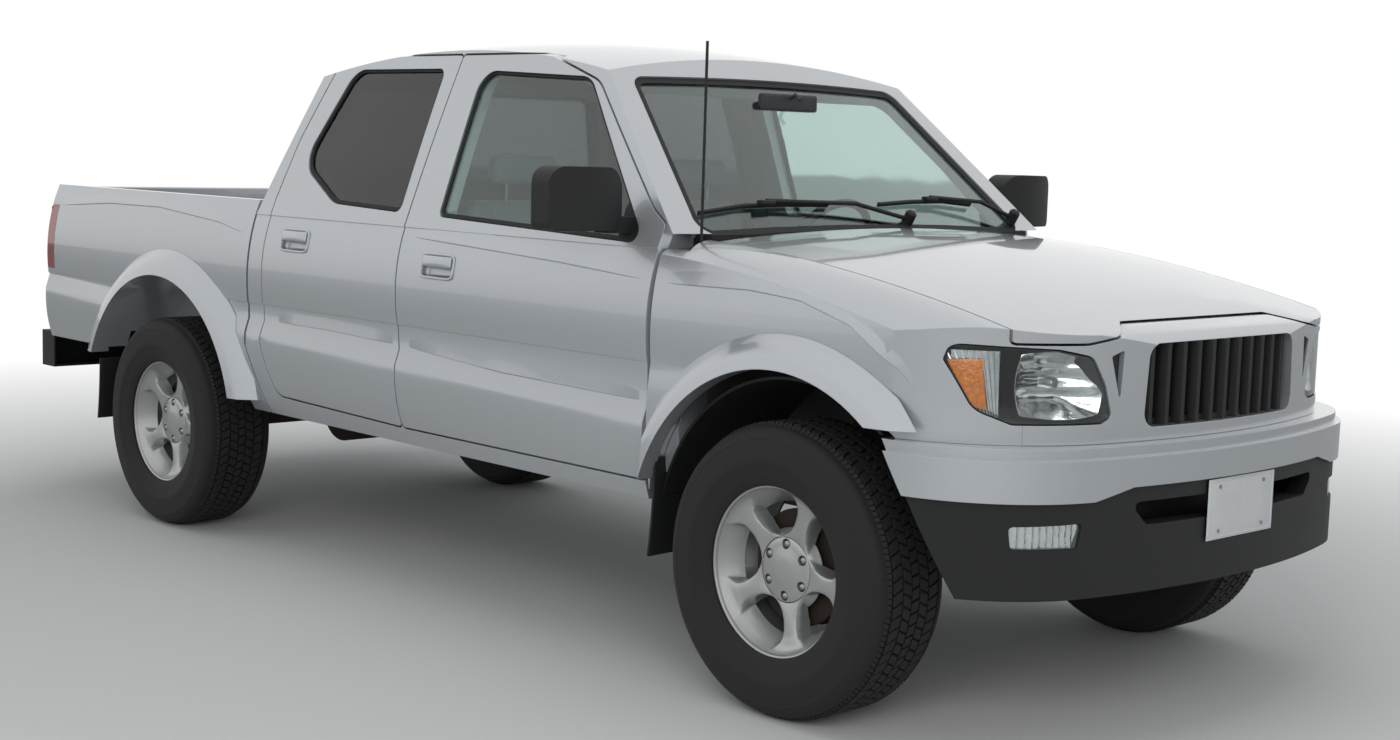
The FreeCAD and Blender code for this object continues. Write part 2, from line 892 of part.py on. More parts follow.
def door(outline, angle, window_shares):
    """Left door: outer panel lapped over a smaller inner one, with its window cut."""
    full = side_prism(outline, -GAP / 2, angle)
    inner = side_prism(plain(outline), -GAP / 2 - size("door_lap"), angle)
    panel = outer_cab.cut(flange_room).common(full)
    body = outer_cab.cut(door_room).common(inner)
    window = side_prism(side_corners(window_shares))
    reach = size("body_half_width") + OVERRUN
    edge = full.copy()
    edge.translate(Vector(-size("hinge_pad"), 0, 0))
    edge = full.cut(edge).common(hinge_skin)
    pads = [edge.common(slab(size(level), size(level) + size("hinge_pad_height")))
            for level in ("hinge_low", "hinge_high")]
    solid = panel.fuse([body] + pads).cut(window)
    return largest(solid.cut(wheel_cut(size("wheel_cut") + GAP, REAR_AXLE, 0, reach)))


def door_glass(window_shares):
    """Pane of a left door."""
    window = side_prism(side_corners(window_shares), -SEAT)
    return glass_front.cut(glass_back).common(window)


add_part("cab_shell", cab_shell())
panes = upper_glass_front.cut(upper_glass_back)
add_part("windshield", largest(panes.common(
    pane_prism(windshield_shares, windshield_x, WINDSHIELD_LEAN, size("door_thickness"), -SEAT))))
add_part("rear_window", largest(panes.common(
    pane_prism(rear_glass_shares, rear_pane_x, -REAR_LEAN, size("door_thickness"), -SEAT))))
front_door = door(front_door_outline, front_angle, front_window_shares)
rear_door = door(rear_door_outline, rear_angle, rear_window_shares)
front_glass = door_glass(front_window_shares)
rear_glass = door_glass(rear_window_shares)
for label, piece in (("door_front", front_door), ("door_rear", rear_door),
                     ("door_glass_front", front_glass), ("door_glass_rear", rear_glass)):
    add_part(label + "_left", piece)
    add_part(label + "_right", mirrored(piece))


# Front clip: hood, fenders and the header panel around the grille
def front_section(inset):
    """Section of the front clip's sides, drawn in by inset."""
    return section_face([
        (size("body_half_width") - size("skin_thickness"), size("sill_bottom"), None),
        (size("waist_half"), size("waist"), (size("body_half_width"), size("crease_low"))),
        (size("belt_half"), size("belt"), (size("shoulder_half"), size("shoulder"))),
        (size("belt_half") - OVERRUN * side_lean(), size("belt") + OVERRUN, None),
    ], inset)


def clip_block(inset):
    """Outer form of the front clip, drawn in by inset."""
    rear = behind(size("cab_front")) - OVERRUN
    front = behind(-size("nose")) + OVERRUN
    side = extruded(front_section(inset), rear, front)
    plan = nose_prism(behind(-size("nose")) - inset, size("nose_bow"), size("nose_corner"),
                      size("body_half_width") + GAP, 0, size("overall_height"), inset=inset)
    return side.common(plan).common(hood_block(inset))


def nose_prism(tip, bow, corner, half, low, top, rear=None, inset=0):
    """Upright prism behind a bowed nose with large round corners."""
    if rear is None:
        rear = behind(size("cab_front")) - OVERRUN
    centre = tip - bow
    side_y = half - corner
    reach = math.sqrt((bow - corner) ** 2 - side_y ** 2)
    corner_x = centre + reach
    towards = Vector(reach, side_y, 0).normalize()
    tangent = Vector(centre, 0, 0) + towards * bow
    outward = (towards + Vector(0, 1, 0)).normalize()
    middle = Vector(corner_x, side_y, 0) + outward * corner
    edges = bend(Vector(tangent.x, -tangent.y, low), Vector(tip, 0, low), Vector(tangent.x, tangent.y, low),
                 inset)
    edges += bend(Vector(tangent.x, tangent.y, low), Vector(middle.x, middle.y, low),
                  Vector(corner_x, half, low), inset)
    corners = [Vector(corner_x, half, low), Vector(rear, half, low), Vector(rear, -half, low),
               Vector(corner_x, -half, low)]
    for start, end in zip(corners, corners[1:]):
        edges.append(Part.LineSegment(start, end).toShape())
    edges += bend(Vector(corner_x, -half, low), Vector(middle.x, -middle.y, low),
                  Vector(tangent.x, -tangent.y, low), inset)
    return prism(Part.Wire(edges), Vector(0, 0, top - low))


def hood_block(inset):
    """Solid under the hood and fender tops: crowned across, bowed along, with a rolled nose."""
    middle = behind(size("hood_rear"))
    base = size("sill_bottom")
    side = size("body_half_width") + GAP
    top = size("hood_rear_height") - inset
    edge = top - size("hood_crown")
    drop = edge - size("shoulder_drop")
    half = size("hood_half")
    shoulder_y = (half + side) / 2 + size("shoulder_push")
    shoulder_z = (edge + drop) / 2 + size("shoulder_push")
    edges = bend(Vector(middle, -half, edge), Vector(middle, 0, top), Vector(middle, half, edge), inset)
    edges += bend(Vector(middle, half, edge), Vector(middle, shoulder_y, shoulder_z),
                  Vector(middle, side, drop), inset)
    corners = [Vector(middle, side, drop), Vector(middle, side, base), Vector(middle, -side, base),
               Vector(middle, -side, drop)]
    for start, end in zip(corners, corners[1:]):
        edges.append(Part.LineSegment(start, end).toShape())
    edges += bend(Vector(middle, -side, drop), Vector(middle, -shoulder_y, shoulder_z),
                  Vector(middle, -half, edge), inset)
    face = Part.Face(Part.Wire(edges))
    tilt = size("hood_bow") * math.sin(math.radians(size("hood_rear_slope")))
    hub = Vector(middle - tilt, 0, size("hood_rear_height") - size("hood_bow"))
    sweep = math.degrees(size("wheelbase") / size("hood_bow"))
    face.rotate(hub, Vector(0, 1, 0), -sweep / 2)
    solid = face.revolve(hub, Vector(0, 1, 0), sweep)
    # Nose rolled down ahead of the hood's front edge
    tip = behind(-size("nose"))
    roll = size("nose_roll") - inset
    level = size("nose_roll_level")
    rear = behind(size("cab_front")) - OVERRUN
    rise = size("overall_height")
    slope = math.radians(size("hood_front_slope"))
    centre = Vector(tip - size("nose_roll"), 0, level)
    over = centre + Vector(math.sin(slope), 0, math.cos(slope)) * roll
    half_way = (math.pi / 2 - slope) / 2 + slope
    mid = centre + Vector(math.sin(half_way), 0, math.cos(half_way)) * roll
    front = centre + Vector(roll, 0, 0)
    back = over - Vector(math.cos(slope), 0, -math.sin(slope)) * (over.x - rear) / math.cos(slope)
    corners = [front, Vector(front.x, 0, 0), Vector(rear, 0, 0), back, over]
    outline = bend(over, mid, front, inset)
    for start, end in zip(corners, corners[1:]):
        outline.append(Part.LineSegment(start, end).toShape())
    reach = size("body_half_width") + OVERRUN
    wire = Part.Wire(outline)
    wire.translate(Vector(0, -reach, 0))
    roller = prism(wire, Vector(0, 2 * reach, 0))
    return solid.common(roller)


clip_outer = clip_block(0)
clip_inner = clip_block(size("skin_thickness"))
clip_rear = behind(size("fender_rear"))


def hood_outline(grow):
    """Front view outline of the hood, whose lower edge dips to the headlamps."""
    edge = symmetric_corners(hood_edge_shares)
    top = size("overall_height")
    half = edge[0][0]
    corners = [(half, top, GAP)] + edge + [(-half, top, GAP)]
    return front_prism(corners, grow, behind(size("cab_front")))


def hood():
    """Hood panel, open behind its cowl edge."""
    panel = clip_outer.cut(clip_inner).common(hood_outline(-GAP / 2))
    rear_cut = box((behind(size("cab_front")) - OVERRUN, -OVERRUN * 3, 0),
                   (behind(size("hood_rear")), OVERRUN * 3, size("overall_height")))
    hinge_x = behind(size("hood_rear")) - size("hood_hinge_back")
    hinge_z = size("hood_rear_height") - size("hood_hinge_drop")
    barrel = size("hood_barrel")
    inner = size("hood_barrel_offset") - size("hood_barrel_half")
    outer = size("hood_barrel_offset") + size("hood_barrel_half")
    hinge = axle_cylinder(hinge_x, barrel, inner, outer, hinge_z)
    hinge = hinge.fuse(box((hinge_x, inner, hinge_z - barrel / 2),
                           (hinge_x + size("hood_hinge_back") + GAP, outer, hinge_z + barrel / 2)))
    return largest(panel.cut(rear_cut).fuse([hinge, mirrored(hinge)]))


def lamp_outline(grow):
    """Front view outline of the left headlamp."""
    return front_prism(front_corners(lamp_shares), grow, behind(-size("lamp_rear")))


def fender():
    """Left fender: side skin from the door to the bumper, with the wheel arch cut."""
    skin = clip_outer.cut(clip_inner)
    skin = skin.cut(hood_outline(GAP / 2)).cut(front_zone(0))
    skin = skin.cut(lamp_outline(size("lamp_gap")))
    left = box((clip_rear, size("hood_half") / 2, size("sill_bottom")),
               (FRONT_AXLE + size("front_overhang"), OVERRUN * 3, size("overall_height")))
    skin = skin.common(left)
    skin = skin.cut(side_prism(front_door_outline, GAP / 2, front_angle))
    skin = skin.cut(wheel_cut(size("front_arch") + size("flare_edge"), FRONT_AXLE, 0, OVERRUN * 3))
    bumper_room = box((behind(0), 0, 0), (FRONT_AXLE + OVERRUN * 3, OVERRUN * 3, size("clip_bottom")))
    skin = skin.cut(bumper_room)
    glass_room = greenhouse(-GAP, 0)
    return largest(skin.cut(glass_room))


def front_zone(grow):
    """Zone of the header panel in front view, below the hood's edge."""
    half = size("header_half") + grow
    top = size("overall_height")
    low = size("clip_bottom") - grow
    corners = [(half, low, SEAT), (half, top, SEAT), (-half, top, SEAT), (-half, low, SEAT)]
    return front_prism(corners)


def header_panel():
    """Painted panel around the grille and between the headlamps."""
    skin = clip_outer.cut(clip_inner).common(front_zone(-SEAT))
    skin = skin.cut(hood_outline(GAP / 2))
    opening = front_prism(symmetric_corners(grille_opening_shares))
    skin = skin.cut(opening)
    for prism_cut in (lamp_outline(size("lamp_gap")), front_prism(front_corners(slot_shares))):
        skin = skin.cut(prism_cut).cut(mirrored(prism_cut))
    return largest(skin)


def grille():
    """Black grille: a frame in the header's opening, upright bars and a back plate."""
    outer = front_prism(symmetric_corners(grille_opening_shares), -SEAT, behind(0))
    inner = front_prism(symmetric_corners(grille_opening_shares), -size("grille_frame"), behind(0))
    half = across(grille_opening_shares[1][0])
    front = nose_x(half) - size("grille_setback")
    zone = box((front - size("grille_depth"), -half * 2, 0), (nose_x(0), half * 2, size("overall_height")))
    frame = outer.cut(inner).common(zone).common(clip_block(size("skin_thickness")))
    count = int(size("grille_bars"))
    pitch = 2 * half / count
    low = high(grille_opening_shares[0][1]) + SEAT
    top = high(grille_opening_shares[1][1]) - SEAT
    bar = size("grille_bar") / 2
    bars = []
    for index in range(count):
        y = -half + pitch * (index + 1 / 2)
        tip = nose_x(y) - size("grille_setback")
        outline = Part.makePolygon([
            Vector(front - size("grille_depth"), y - bar, low), Vector(tip - bar, y - bar, low),
            Vector(tip, y - bar / 2, low), Vector(tip, y + bar / 2, low),
            Vector(tip - bar, y + bar, low), Vector(front - size("grille_depth"), y + bar, low),
            Vector(front - size("grille_depth"), y - bar, low)])
        bars.append(prism(outline, Vector(0, 0, top - low)))
    plate = outer.common(box((front - size("grille_depth") - size("grille_frame"), -half * 2, 0),
                             (front - size("grille_depth"), half * 2, size("overall_height"))))
    return plate.fuse([frame] + [item.common(outer) for item in bars])


def nose_x(y):
    """X of the nose's plan curve at a distance from the middle."""
    bow = size("nose_bow")
    return behind(-size("nose")) - bow + math.sqrt(bow ** 2 - y ** 2)


def headlamp():
    """Left headlamp block behind its lens face."""
    block = clip_block(GAP / 2).cut(clip_block(size("lamp_depth")))
    return largest(block.common(lamp_outline(-SEAT)))


add_part("hood", hood())
left_fender = fender()
add_part("fender_left", left_fender)
add_part("fender_right", mirrored(left_fender))
add_part("grille_surround", header_panel())
add_part("grille", grille())
add_part("headlamps", both_sides(headlamp()))


# Front bumper, valance and fog lamps
def bumper_block(setback, low, top):
    """Upright block behind the bumper's bowed face."""
    return nose_prism(behind(-size("bumper_reach")) - setback, size("bumper_bow"),
                      size("bumper_corner") - setback / 2, size("bumper_half") - setback, low, top,
                      behind(0))


def bumper_ends():
    """Side view zone ahead of the bumper's raked rear ends."""
    reach = size("body_half_width") + OVERRUN
    front = FRONT_AXLE + size("front_overhang") + OVERRUN
    low = size("valance_bottom")
    outline = Part.makePolygon([
        Vector(behind(-size("bumper_end_bottom")), -reach, low),
        Vector(behind(-size("bumper_end_split")), -reach, size("bumper_split")),
        Vector(behind(-size("bumper_end_top")), -reach, size("bumper_top")),
        Vector(front, -reach, size("bumper_top")),
        Vector(front, -reach, low),
        Vector(behind(-size("bumper_end_bottom")), -reach, low)])
    return prism(outline, Vector(0, 2 * reach, 0))


def split_zone(lift):
    """Front view zone above the line between bumper and valance, raised by lift."""
    half = size("body_half_width") + OVERRUN
    top = size("overall_height")
    rise_in, rise_out = [across(share) for share in bumper_split_shares]
    middle = size("bumper_split_middle") + lift
    low = size("bumper_split") + lift
    outline = Part.makePolygon([
        Vector(behind(0), half, top), Vector(behind(0), half, low), Vector(behind(0), rise_out, low),
        Vector(behind(0), rise_in, middle), Vector(behind(0), -rise_in, middle),
        Vector(behind(0), -rise_out, low), Vector(behind(0), -half, low), Vector(behind(0), -half, top),
        Vector(behind(0), half, top)])
    return prism(outline, Vector(size("front_overhang") + OVERRUN, 0, 0))


def front_bumper():
    """Painted bumper bar: a bowed face with a stepped top, open at the back."""
    low = size("valance_bottom")
    top = size("bumper_top")
    face = bumper_block(0, low, top - size("bumper_step"))
    face = face.fuse(bumper_block(size("bumper_step_depth"), low, top))
    hollow = bumper_block(size("bumper_wall"), low, top - size("bumper_lip"))
    bay = bumper_block(size("bumper_shelf"), low, top + GAP)
    bar = face.cut(hollow).cut(bay).common(bumper_ends()).common(split_zone(SEAT))
    return largest(bar)


def valance():
    """Black lower bumper with its intake and fog lamp recesses."""
    low = size("valance_bottom")
    face = bumper_block(size("valance_setback"), low, size("bumper_split_middle"))
    hollow = bumper_block(size("valance_setback") + size("bumper_wall"), low - GAP, size("bumper_top"))
    bar = face.cut(hollow).common(bumper_ends()).cut(split_zone(0))
    intake = front_prism(symmetric_corners(intake_shares))
    fog = front_prism(front_corners(fog_shares))
    return largest(bar.cut(intake).cut(fog).cut(mirrored(fog)))


def fog_lamp():
    """Left fog lamp seated in the valance."""
    setback = size("valance_setback") + GAP
    block = bumper_block(setback, size("valance_bottom"), size("bumper_top"))
    block = block.cut(bumper_block(setback + size("fog_depth"), 0, size("overall_height")))
    return largest(block.common(front_prism(front_corners(fog_shares), -SEAT)))


add_part("front_bumper", front_bumper())
add_part("front_valance", valance())
add_part("fog_lamps", both_sides(fog_lamp()))


# Flares, arch liners and mudflaps
def ring(x, corners):
    """Ring about an axle line from (radius, y) corners of its section."""
    points = [Vector(x + radius, y, HUB_HEIGHT) for radius, y in corners]
    wire = Part.makePolygon(points + points[:1])
    return Part.Face(wire).revolve(Vector(x, 0, HUB_HEIGHT), Vector(0, 1, 0), math.degrees(2 * math.pi))


def flare(x, arch, seam, body, zone):
    """Left wheel arch flare: a swelling from its seam on the body out to the arch's lip."""
    skin = size("body_half_width")
    out = size("flare_half_width")
    edge = size("flare_edge")
    middle = (seam + arch) / 2
    section = [
        (seam, skin - size("skin_thickness") * 2), (seam, skin - edge), (middle, out - edge),
        (arch, out), (arch, skin - size("skin_thickness") * 2),
    ]
    return largest(ring(x, section).cut(body).common(zone))


front_flare_zone = box((behind(size("flare_back")), 0, size("flare_bottom")),
                       (FRONT_AXLE + OVERRUN * 2, OVERRUN * 3, size("overall_height")))
front_flare_zone = front_flare_zone.cut(
    box((FRONT_AXLE, 0, 0), (FRONT_AXLE + OVERRUN * 2, OVERRUN * 3, size("clip_bottom") + GAP * 4)))
front_flare_body = extruded(front_section(-SEAT), behind(OVERRUN * 2), behind(-OVERRUN * 2))
front_flare = flare(FRONT_AXLE, size("front_arch"), size("front_flare"), front_flare_body, front_flare_zone)


def front_liner():
    """Left inner arch: a curved shell over the front wheel, open below for its steering."""
    radius = size("liner_radius")
    outside = radius + size("liner_wall")
    shell = ring(FRONT_AXLE, [(radius, size("liner_inner")), (outside, size("liner_inner")),
                              (outside, size("liner_outer")), (radius, size("liner_outer"))])
    zone = box((FRONT_AXLE - OVERRUN * 2, 0, size("flare_bottom")),
               (FRONT_AXLE + OVERRUN * 2, OVERRUN * 3, size("overall_height")))
    ahead = box((FRONT_AXLE, 0, 0), (FRONT_AXLE + OVERRUN * 2, OVERRUN * 3, size("clip_bottom")))
    return largest(shell.common(zone).cut(ahead))


add_part("front_flares", both_sides(front_flare))
add_part("front_liners", both_sides(front_liner()))


# Cargo bed, tailgate and tail lamps
bed_rear = behind(size("bed_rear"))
bed_front = behind(size("bed_front"))
bed_outer = body_side(bed_rear, bed_front + OVERRUN / 2)
bed_outer = bed_outer.fuse(upper_side(bed_rear, bed_front + OVERRUN / 2).common(
    slab(size("belt"), size("bed_top"))))


def cargo_bed():
    """Open bed: side walls over the wheels, floor and front wall, with a gap for the tailgate."""
    reach = size("body_half_width") + OVERRUN
    outer = bed_outer
    cab_side = box((bed_front, -reach, size("wheel_cut_level")), (FRONT_AXLE, reach, size("overall_height")))
    cab_low = box((bed_front, -reach, 0), (FRONT_AXLE, reach, size("wheel_cut_level")))
    cab_low = cab_low.cut(wheel_cut(size("wheel_cut") - GAP - SEAT, REAR_AXLE, -reach, reach))
    outer = outer.cut(cab_side).cut(cab_low)
    skirt = box((bed_rear - GAP, -reach, 0), (REAR_AXLE, reach, size("bed_skirt")))
    outer = outer.cut(skirt)
    half = size("body_half_width") - size("bed_wall")
    load = box((bed_rear - GAP, -half, size("bed_floor")),
               (bed_front - size("bed_front_wall"), half, size("overall_height")))
    house = axle_cylinder(REAR_AXLE, size("rear_arch") + size("wheelhouse_wall"),
                          size("wheelhouse_inner"), half + GAP)
    load = load.cut(house).cut(mirrored(house))
    outer = outer.cut(load)
    under = box((bed_rear - GAP, -half, 0),
                (bed_front + OVERRUN, half, size("bed_floor") - size("bed_floor_thickness")))
    outer = outer.cut(under)
    arch = axle_cylinder(REAR_AXLE, size("rear_arch"), size("wheelhouse_inner") + size("wheelhouse_wall"),
                         reach)
    outer = outer.cut(arch).cut(mirrored(arch))
    gate = box((bed_rear - GAP, -size("tailgate_half"), size("tailgate_bottom") - GAP),
               (bed_rear + size("tailgate_thickness") + GAP, size("tailgate_half"), size("overall_height")))
    outer = outer.cut(gate)
    lamp = tail_lamp_block(0)
    outer = outer.cut(lamp).cut(mirrored(lamp))
    return largest(outer)


def tail_lamp_block(grow):
    """Room of the left tail lamp in the bed's rear corner."""
    top = size("tail_lamp_top")
    outer_y = size("body_half_width") + GAP
    return box((bed_rear - GAP, outer_y - GAP - size("tail_lamp_width") + grow,
                top - size("tail_lamp_height") + grow),
               (bed_rear + size("tail_lamp_depth") - grow, outer_y, top - grow))


def tailgate():
    """Tailgate panel with a rounded lower edge about its hinge line."""
    half = size("tailgate_half") - GAP
    low = size("tailgate_bottom")
    thick = size("tailgate_thickness")
    corners = [
        (bed_rear, size("bed_top") - GAP, GAP), (bed_rear, low, thick / 2 - SEAT),
        (bed_rear + thick, low, thick / 2 - SEAT), (bed_rear + thick, size("bed_top") - GAP, GAP),
    ]
    wire = rounded_wire(corners, lambda x, z: Vector(x, -half, z))
    reach = size("tailgate_half") - SEAT
    pins = axle_cylinder(bed_rear + thick / 2, size("tailgate_pin"), -reach, reach, low + thick / 2)
    return prism(wire, Vector(0, 2 * half, 0)).fuse(pins)


bed = cargo_bed()
add_part("cargo_bed", bed)
add_part("tailgate", tailgate())
lamp_room = tail_lamp_block(SEAT)
add_part("tail_lamps", both_sides(largest(bed_outer.common(lamp_room))))

rear_flare_zone = box((behind(size("bed_rear")), 0, size("bed_skirt") - GAP * 3),
                      (REAR_AXLE, OVERRUN * 3, size("overall_height")))
rear_flare_zone = rear_flare_zone.fuse(
    box((REAR_AXLE, 0, size("rear_flare_bottom")),
        (bed_front + OVERRUN, OVERRUN * 3, size("overall_height"))))
rear_flare_body = body_side(behind(size("bed_rear")), bed_front + OVERRUN, -SEAT,
                            size("rear_flare_bottom") - OVERRUN)
rear_flare = flare(REAR_AXLE, size("rear_arch"), size("rear_flare"), rear_flare_body, rear_flare_zone)
add_part("rear_flares", both_sides(rear_flare))


# Cowl with the antenna, and the mirrors
def cowl():
    """Black panel between hood and windshield."""
    half = size("cowl_half")
    outline = Part.makePolygon([
        Vector(behind(size("cowl_front")), -half, size("cowl_low")),
        Vector(behind(size("cowl_front")), -half, size("cowl_lip")),
        Vector(behind(size("cowl_step")), -half, size("cowl_lip")),
        Vector(behind(size("cowl_step")), -half, size("cowl_rear_level")),
        Vector(behind(size("cowl_rear")), -half, size("cowl_rear_level")),
        Vector(behind(size("cowl_rear")), -half, size("cowl_low")),
        Vector(behind(size("cowl_front")), -half, size("cowl_low"))])
    pane = pane_prism(windshield_shares, windshield_x, WINDSHIELD_LEAN, size("door_thickness") * 2, SEAT)
    panel = prism(outline, Vector(0, 2 * half, 0)).cut(pane)
    hinge_x = behind(size("hood_rear")) - size("hood_hinge_back")
    hinge_z = size("hood_rear_height") - size("hood_hinge_drop")
    outer = size("hood_barrel_offset") - size("hood_barrel_half") - SEAT
    ear = box((hinge_x - size("hood_barrel"), outer - size("hood_ear"), size("cowl_low")),
              (hinge_x + size("hood_barrel"), outer, hinge_z + size("hood_barrel")))
    return largest(panel.fuse([ear, mirrored(ear)]))


def antenna():
    """Mast with its base seated on the right fender."""
    place = Vector(behind(size("antenna_back")), -size("antenna_offset"), size("belt"))
    base = Part.makeCylinder(size("antenna_base"), size("antenna_base_height"), place)
    mast = Part.makeCylinder(size("antenna_radius"), size("antenna_top") - size("belt"), place)
    return largest(base.fuse(mast).cut(clip_outer))


def mirror():
    """Left door mirror: housing, arm and the base plate in the window's front corner."""
    head = [
        (size("mirror_inner"), size("mirror_low"), size("mirror_round") / 2),
        (size("mirror_inner"), size("mirror_high"), size("mirror_round") * 3 / 2),
        (size("mirror_outer"), size("mirror_high"), size("mirror_round")),
        (size("mirror_outer"), size("mirror_low"), size("mirror_round") / 2),
    ]
    front = behind(size("mirror_front"))
    rear = behind(size("mirror_rear"))
    face = front_prism(head, 0, rear, front)
    middle = (size("mirror_inner") + size("mirror_outer")) / 2
    inner = size("mirror_inner") - size("mirror_margin")
    outer = size("mirror_outer") + size("mirror_margin")
    shoulder = front - size("mirror_bow")
    edges = [Part.Arc(Vector(shoulder, inner, 0), Vector(front, middle, 0),
                      Vector(shoulder, outer, 0)).toShape()]
    corners = [Vector(shoulder, outer, 0), Vector(rear - size("mirror_margin"), outer, 0),
               Vector(rear - size("mirror_margin"), inner, 0), Vector(shoulder, inner, 0)]
    for start, end in zip(corners, corners[1:]):
        edges.append(Part.LineSegment(start, end).toShape())
    head_block = face.common(prism(Part.Wire(edges), Vector(0, 0, size("overall_height"))))
    arm = box((behind(size("mirror_arm_rear")), size("rail_half"), size("mirror_arm_low")),
              (behind(size("mirror_arm_front")), size("mirror_arm_outer"), size("mirror_arm_high")))
    sail = [(along(x_share), high(z_share), 0) for x_share, z_share in sail_shares]
    window = side_prism(side_corners(front_window_shares), -SEAT)
    plate = side_prism(sail).common(window).common(outer_cab)
    return largest(plate.fuse(arm).cut(seated_glass).fuse(head_block))


seated_glass = cab_block(size("glass_depth") - SEAT, size("glass_depth") - SEAT)
add_part("cowl", Part.makeCompound([cowl(), antenna()]))
left_mirror = mirror()
add_part("mirror_left", left_mirror)
add_part("mirror_right", mirrored(left_mirror))


# Pieces built as bodies and primitives, their sizes bound to the sheet
def number(text):
    """Value of an expression on the sheet."""
    return float(sheet.evalExpression(text))


def bind(owner, values):
    """Bind properties to expressions."""
    for key, text in values.items():
        owner.setExpression(key, text)


def put(owner, x="0", y="0", z="0"):
    """Bind an object's place."""
    bind(owner, {".Placement.Base.x": x, ".Placement.Base.y": y, ".Placement.Base.z": z})
    return owner


def loop(body, role, label, points):
    """Sketch of straight lines through points given as expressions."""
    sketch = body.newObject("Sketcher::SketchObject", label)
    plane = [item for item in body.Origin.OriginFeatures if item.Role == role][0]
    sketch.AttachmentSupport = [(plane, "")]
    sketch.MapMode = "FlatFace"
    places = [Vector(number(u), number(v), 0) for u, v in points]
    count = len(places)
    for index in range(count):
        sketch.addGeometry(Part.LineSegment(places[index], places[(index + 1) % count]))
    for index in range(count):
        sketch.addConstraint(Sketcher.Constraint("Coincident", index, 2, (index + 1) % count, 1))
    for index, (u, v) in enumerate(points):
        for kind, text, value in (("DistanceX", u, places[index].x), ("DistanceY", v, places[index].y)):
            key = sketch.addConstraint(Sketcher.Constraint(kind, -1, 1, index, 1, value))
            sketch.setExpression("Constraints[%d]" % key, text)
    return sketch


def turned(label, points):
    """Body turned about the truck's crossways axis from (radius, y) points."""
    body = doc.addObject("PartDesign::Body", label)
    body.Label = label
    sketch = loop(body, "XY_Plane", label + "_section", points)
    turn = body.newObject("PartDesign::Revolution", label + "_turn")
    turn.Profile = sketch
    turn.ReferenceAxis = (sketch, ["V_Axis"])
    turn.Angle = math.degrees(2 * math.pi)
    return body


def padded(label, points, width):
    """Body with an (x, z) side outline, as wide as given, centred on its own plane."""
    body = doc.addObject("PartDesign::Body", label)
    body.Label = label
    sketch = loop(body, "XZ_Plane", label + "_outline", points)
    pad = body.newObject("PartDesign::Pad", label + "_pad")
    pad.Profile = sketch
    pad.Midplane = True
    pad.setExpression("Length", width)
    return body


def block(label, x, y, z, length, width, height):
    """Box with its low corner and its sizes bound."""
    item = doc.addObject("Part::Box", label)
    bind(item, {"Length": length, "Width": width, "Height": height})
    return put(item, x, y, z)


def rod(label, radius, height, axis):
    """Cylinder along a direction from its place."""
    item = doc.addObject("Part::Cylinder", label)
    item.Placement = Placement(Vector(0, 0, 0), Rotation(Vector(0, 0, 1), axis))
    bind(item, {"Radius": radius, "Height": height})
    return item


def fused(label, items):
    """One piece from several."""
    whole = doc.addObject("Part::MultiFuse", label)
    whole.Label = label
    whole.Shapes = items
    return whole


def reflected(label, item):
    """The item's mirror image across the truck's middle plane."""
    image = doc.addObject("Part::Mirroring", label)
    image.Label = label
    image.Source = item
    image.Normal = Vector(0, 1, 0)
    image.Base = Vector(0, 0, 0)
    return image


def grouped(label, items):
    """Separate solids kept as one sub-part."""
    group = doc.addObject("Part::Compound", label)
    group.Label = label
    group.Links = items
    return group


FRONT = "(sizes.overall_length / 2 - sizes.front_overhang)"
REAR = "(%s - sizes.wheelbase)" % FRONT
HUB = "sizes.tyre_radius"
CORNERS = {"front_left": (FRONT, 1), "front_right": (FRONT, -1), "rear_left": (REAR, 1),
           "rear_right": (REAR, -1)}


def back(alias):
    """Expression for X of a place this far behind the front axle."""
    return "%s - sizes.%s" % (FRONT, alias)


def ahead(alias):
    """Expression for X of a place this far ahead of the front axle."""
    return "%s + sizes.%s" % (FRONT, alias)


# Tyres, as many-sided rings of flat facets, which keeps the four of them light
def tyre_rings():
    """(y, radius) of the tyre's corners, from the inner bead round to the outer one and the bore."""
    bore = (size("rim_radius") + SEAT) / math.cos(math.pi / size("tyre_sides"))
    half = [(size("bead_half"), bore), (size("tyre_width") / 2, size("bulge_radius")),
            (size("tread_half"), size("tyre_radius"))]
    return [(-y, radius) for y, radius in half] + list(reversed(half))


def tyre(x, y):
    """Tyre about the axle through a wheel's middle."""
    sides = int(size("tyre_sides"))
    rings = []
    for offset, radius in tyre_rings():
        turns = [2 * math.pi * index / sides for index in range(sides)]
        rings.append([Vector(x + radius * math.cos(turn), y + offset, HUB_HEIGHT - radius * math.sin(turn))
                      for turn in turns])
    facets = []
    for ring, following in zip(rings, rings[1:] + rings[:1]):
        for index in range(sides):
            after = (index + 1) % sides
            corners = [ring[index], ring[after], following[after], following[index], ring[index]]
            facets.append(Part.Face(Part.makePolygon(corners)))
    shell = Part.makeShell(facets)
    shell.sewShape()
    solid = Part.makeSolid(shell)
    if solid.Volume < 0:
        solid.reverse()
    return solid


for corner in ("front_left", "front_right", "rear_left", "rear_right"):
    axle_x = FRONT_AXLE if "front" in corner else REAR_AXLE
    wheel_y = size("track_half") if "left" in corner else -size("track_half")
    add_part("tyre_" + corner, tyre(axle_x, wheel_y))

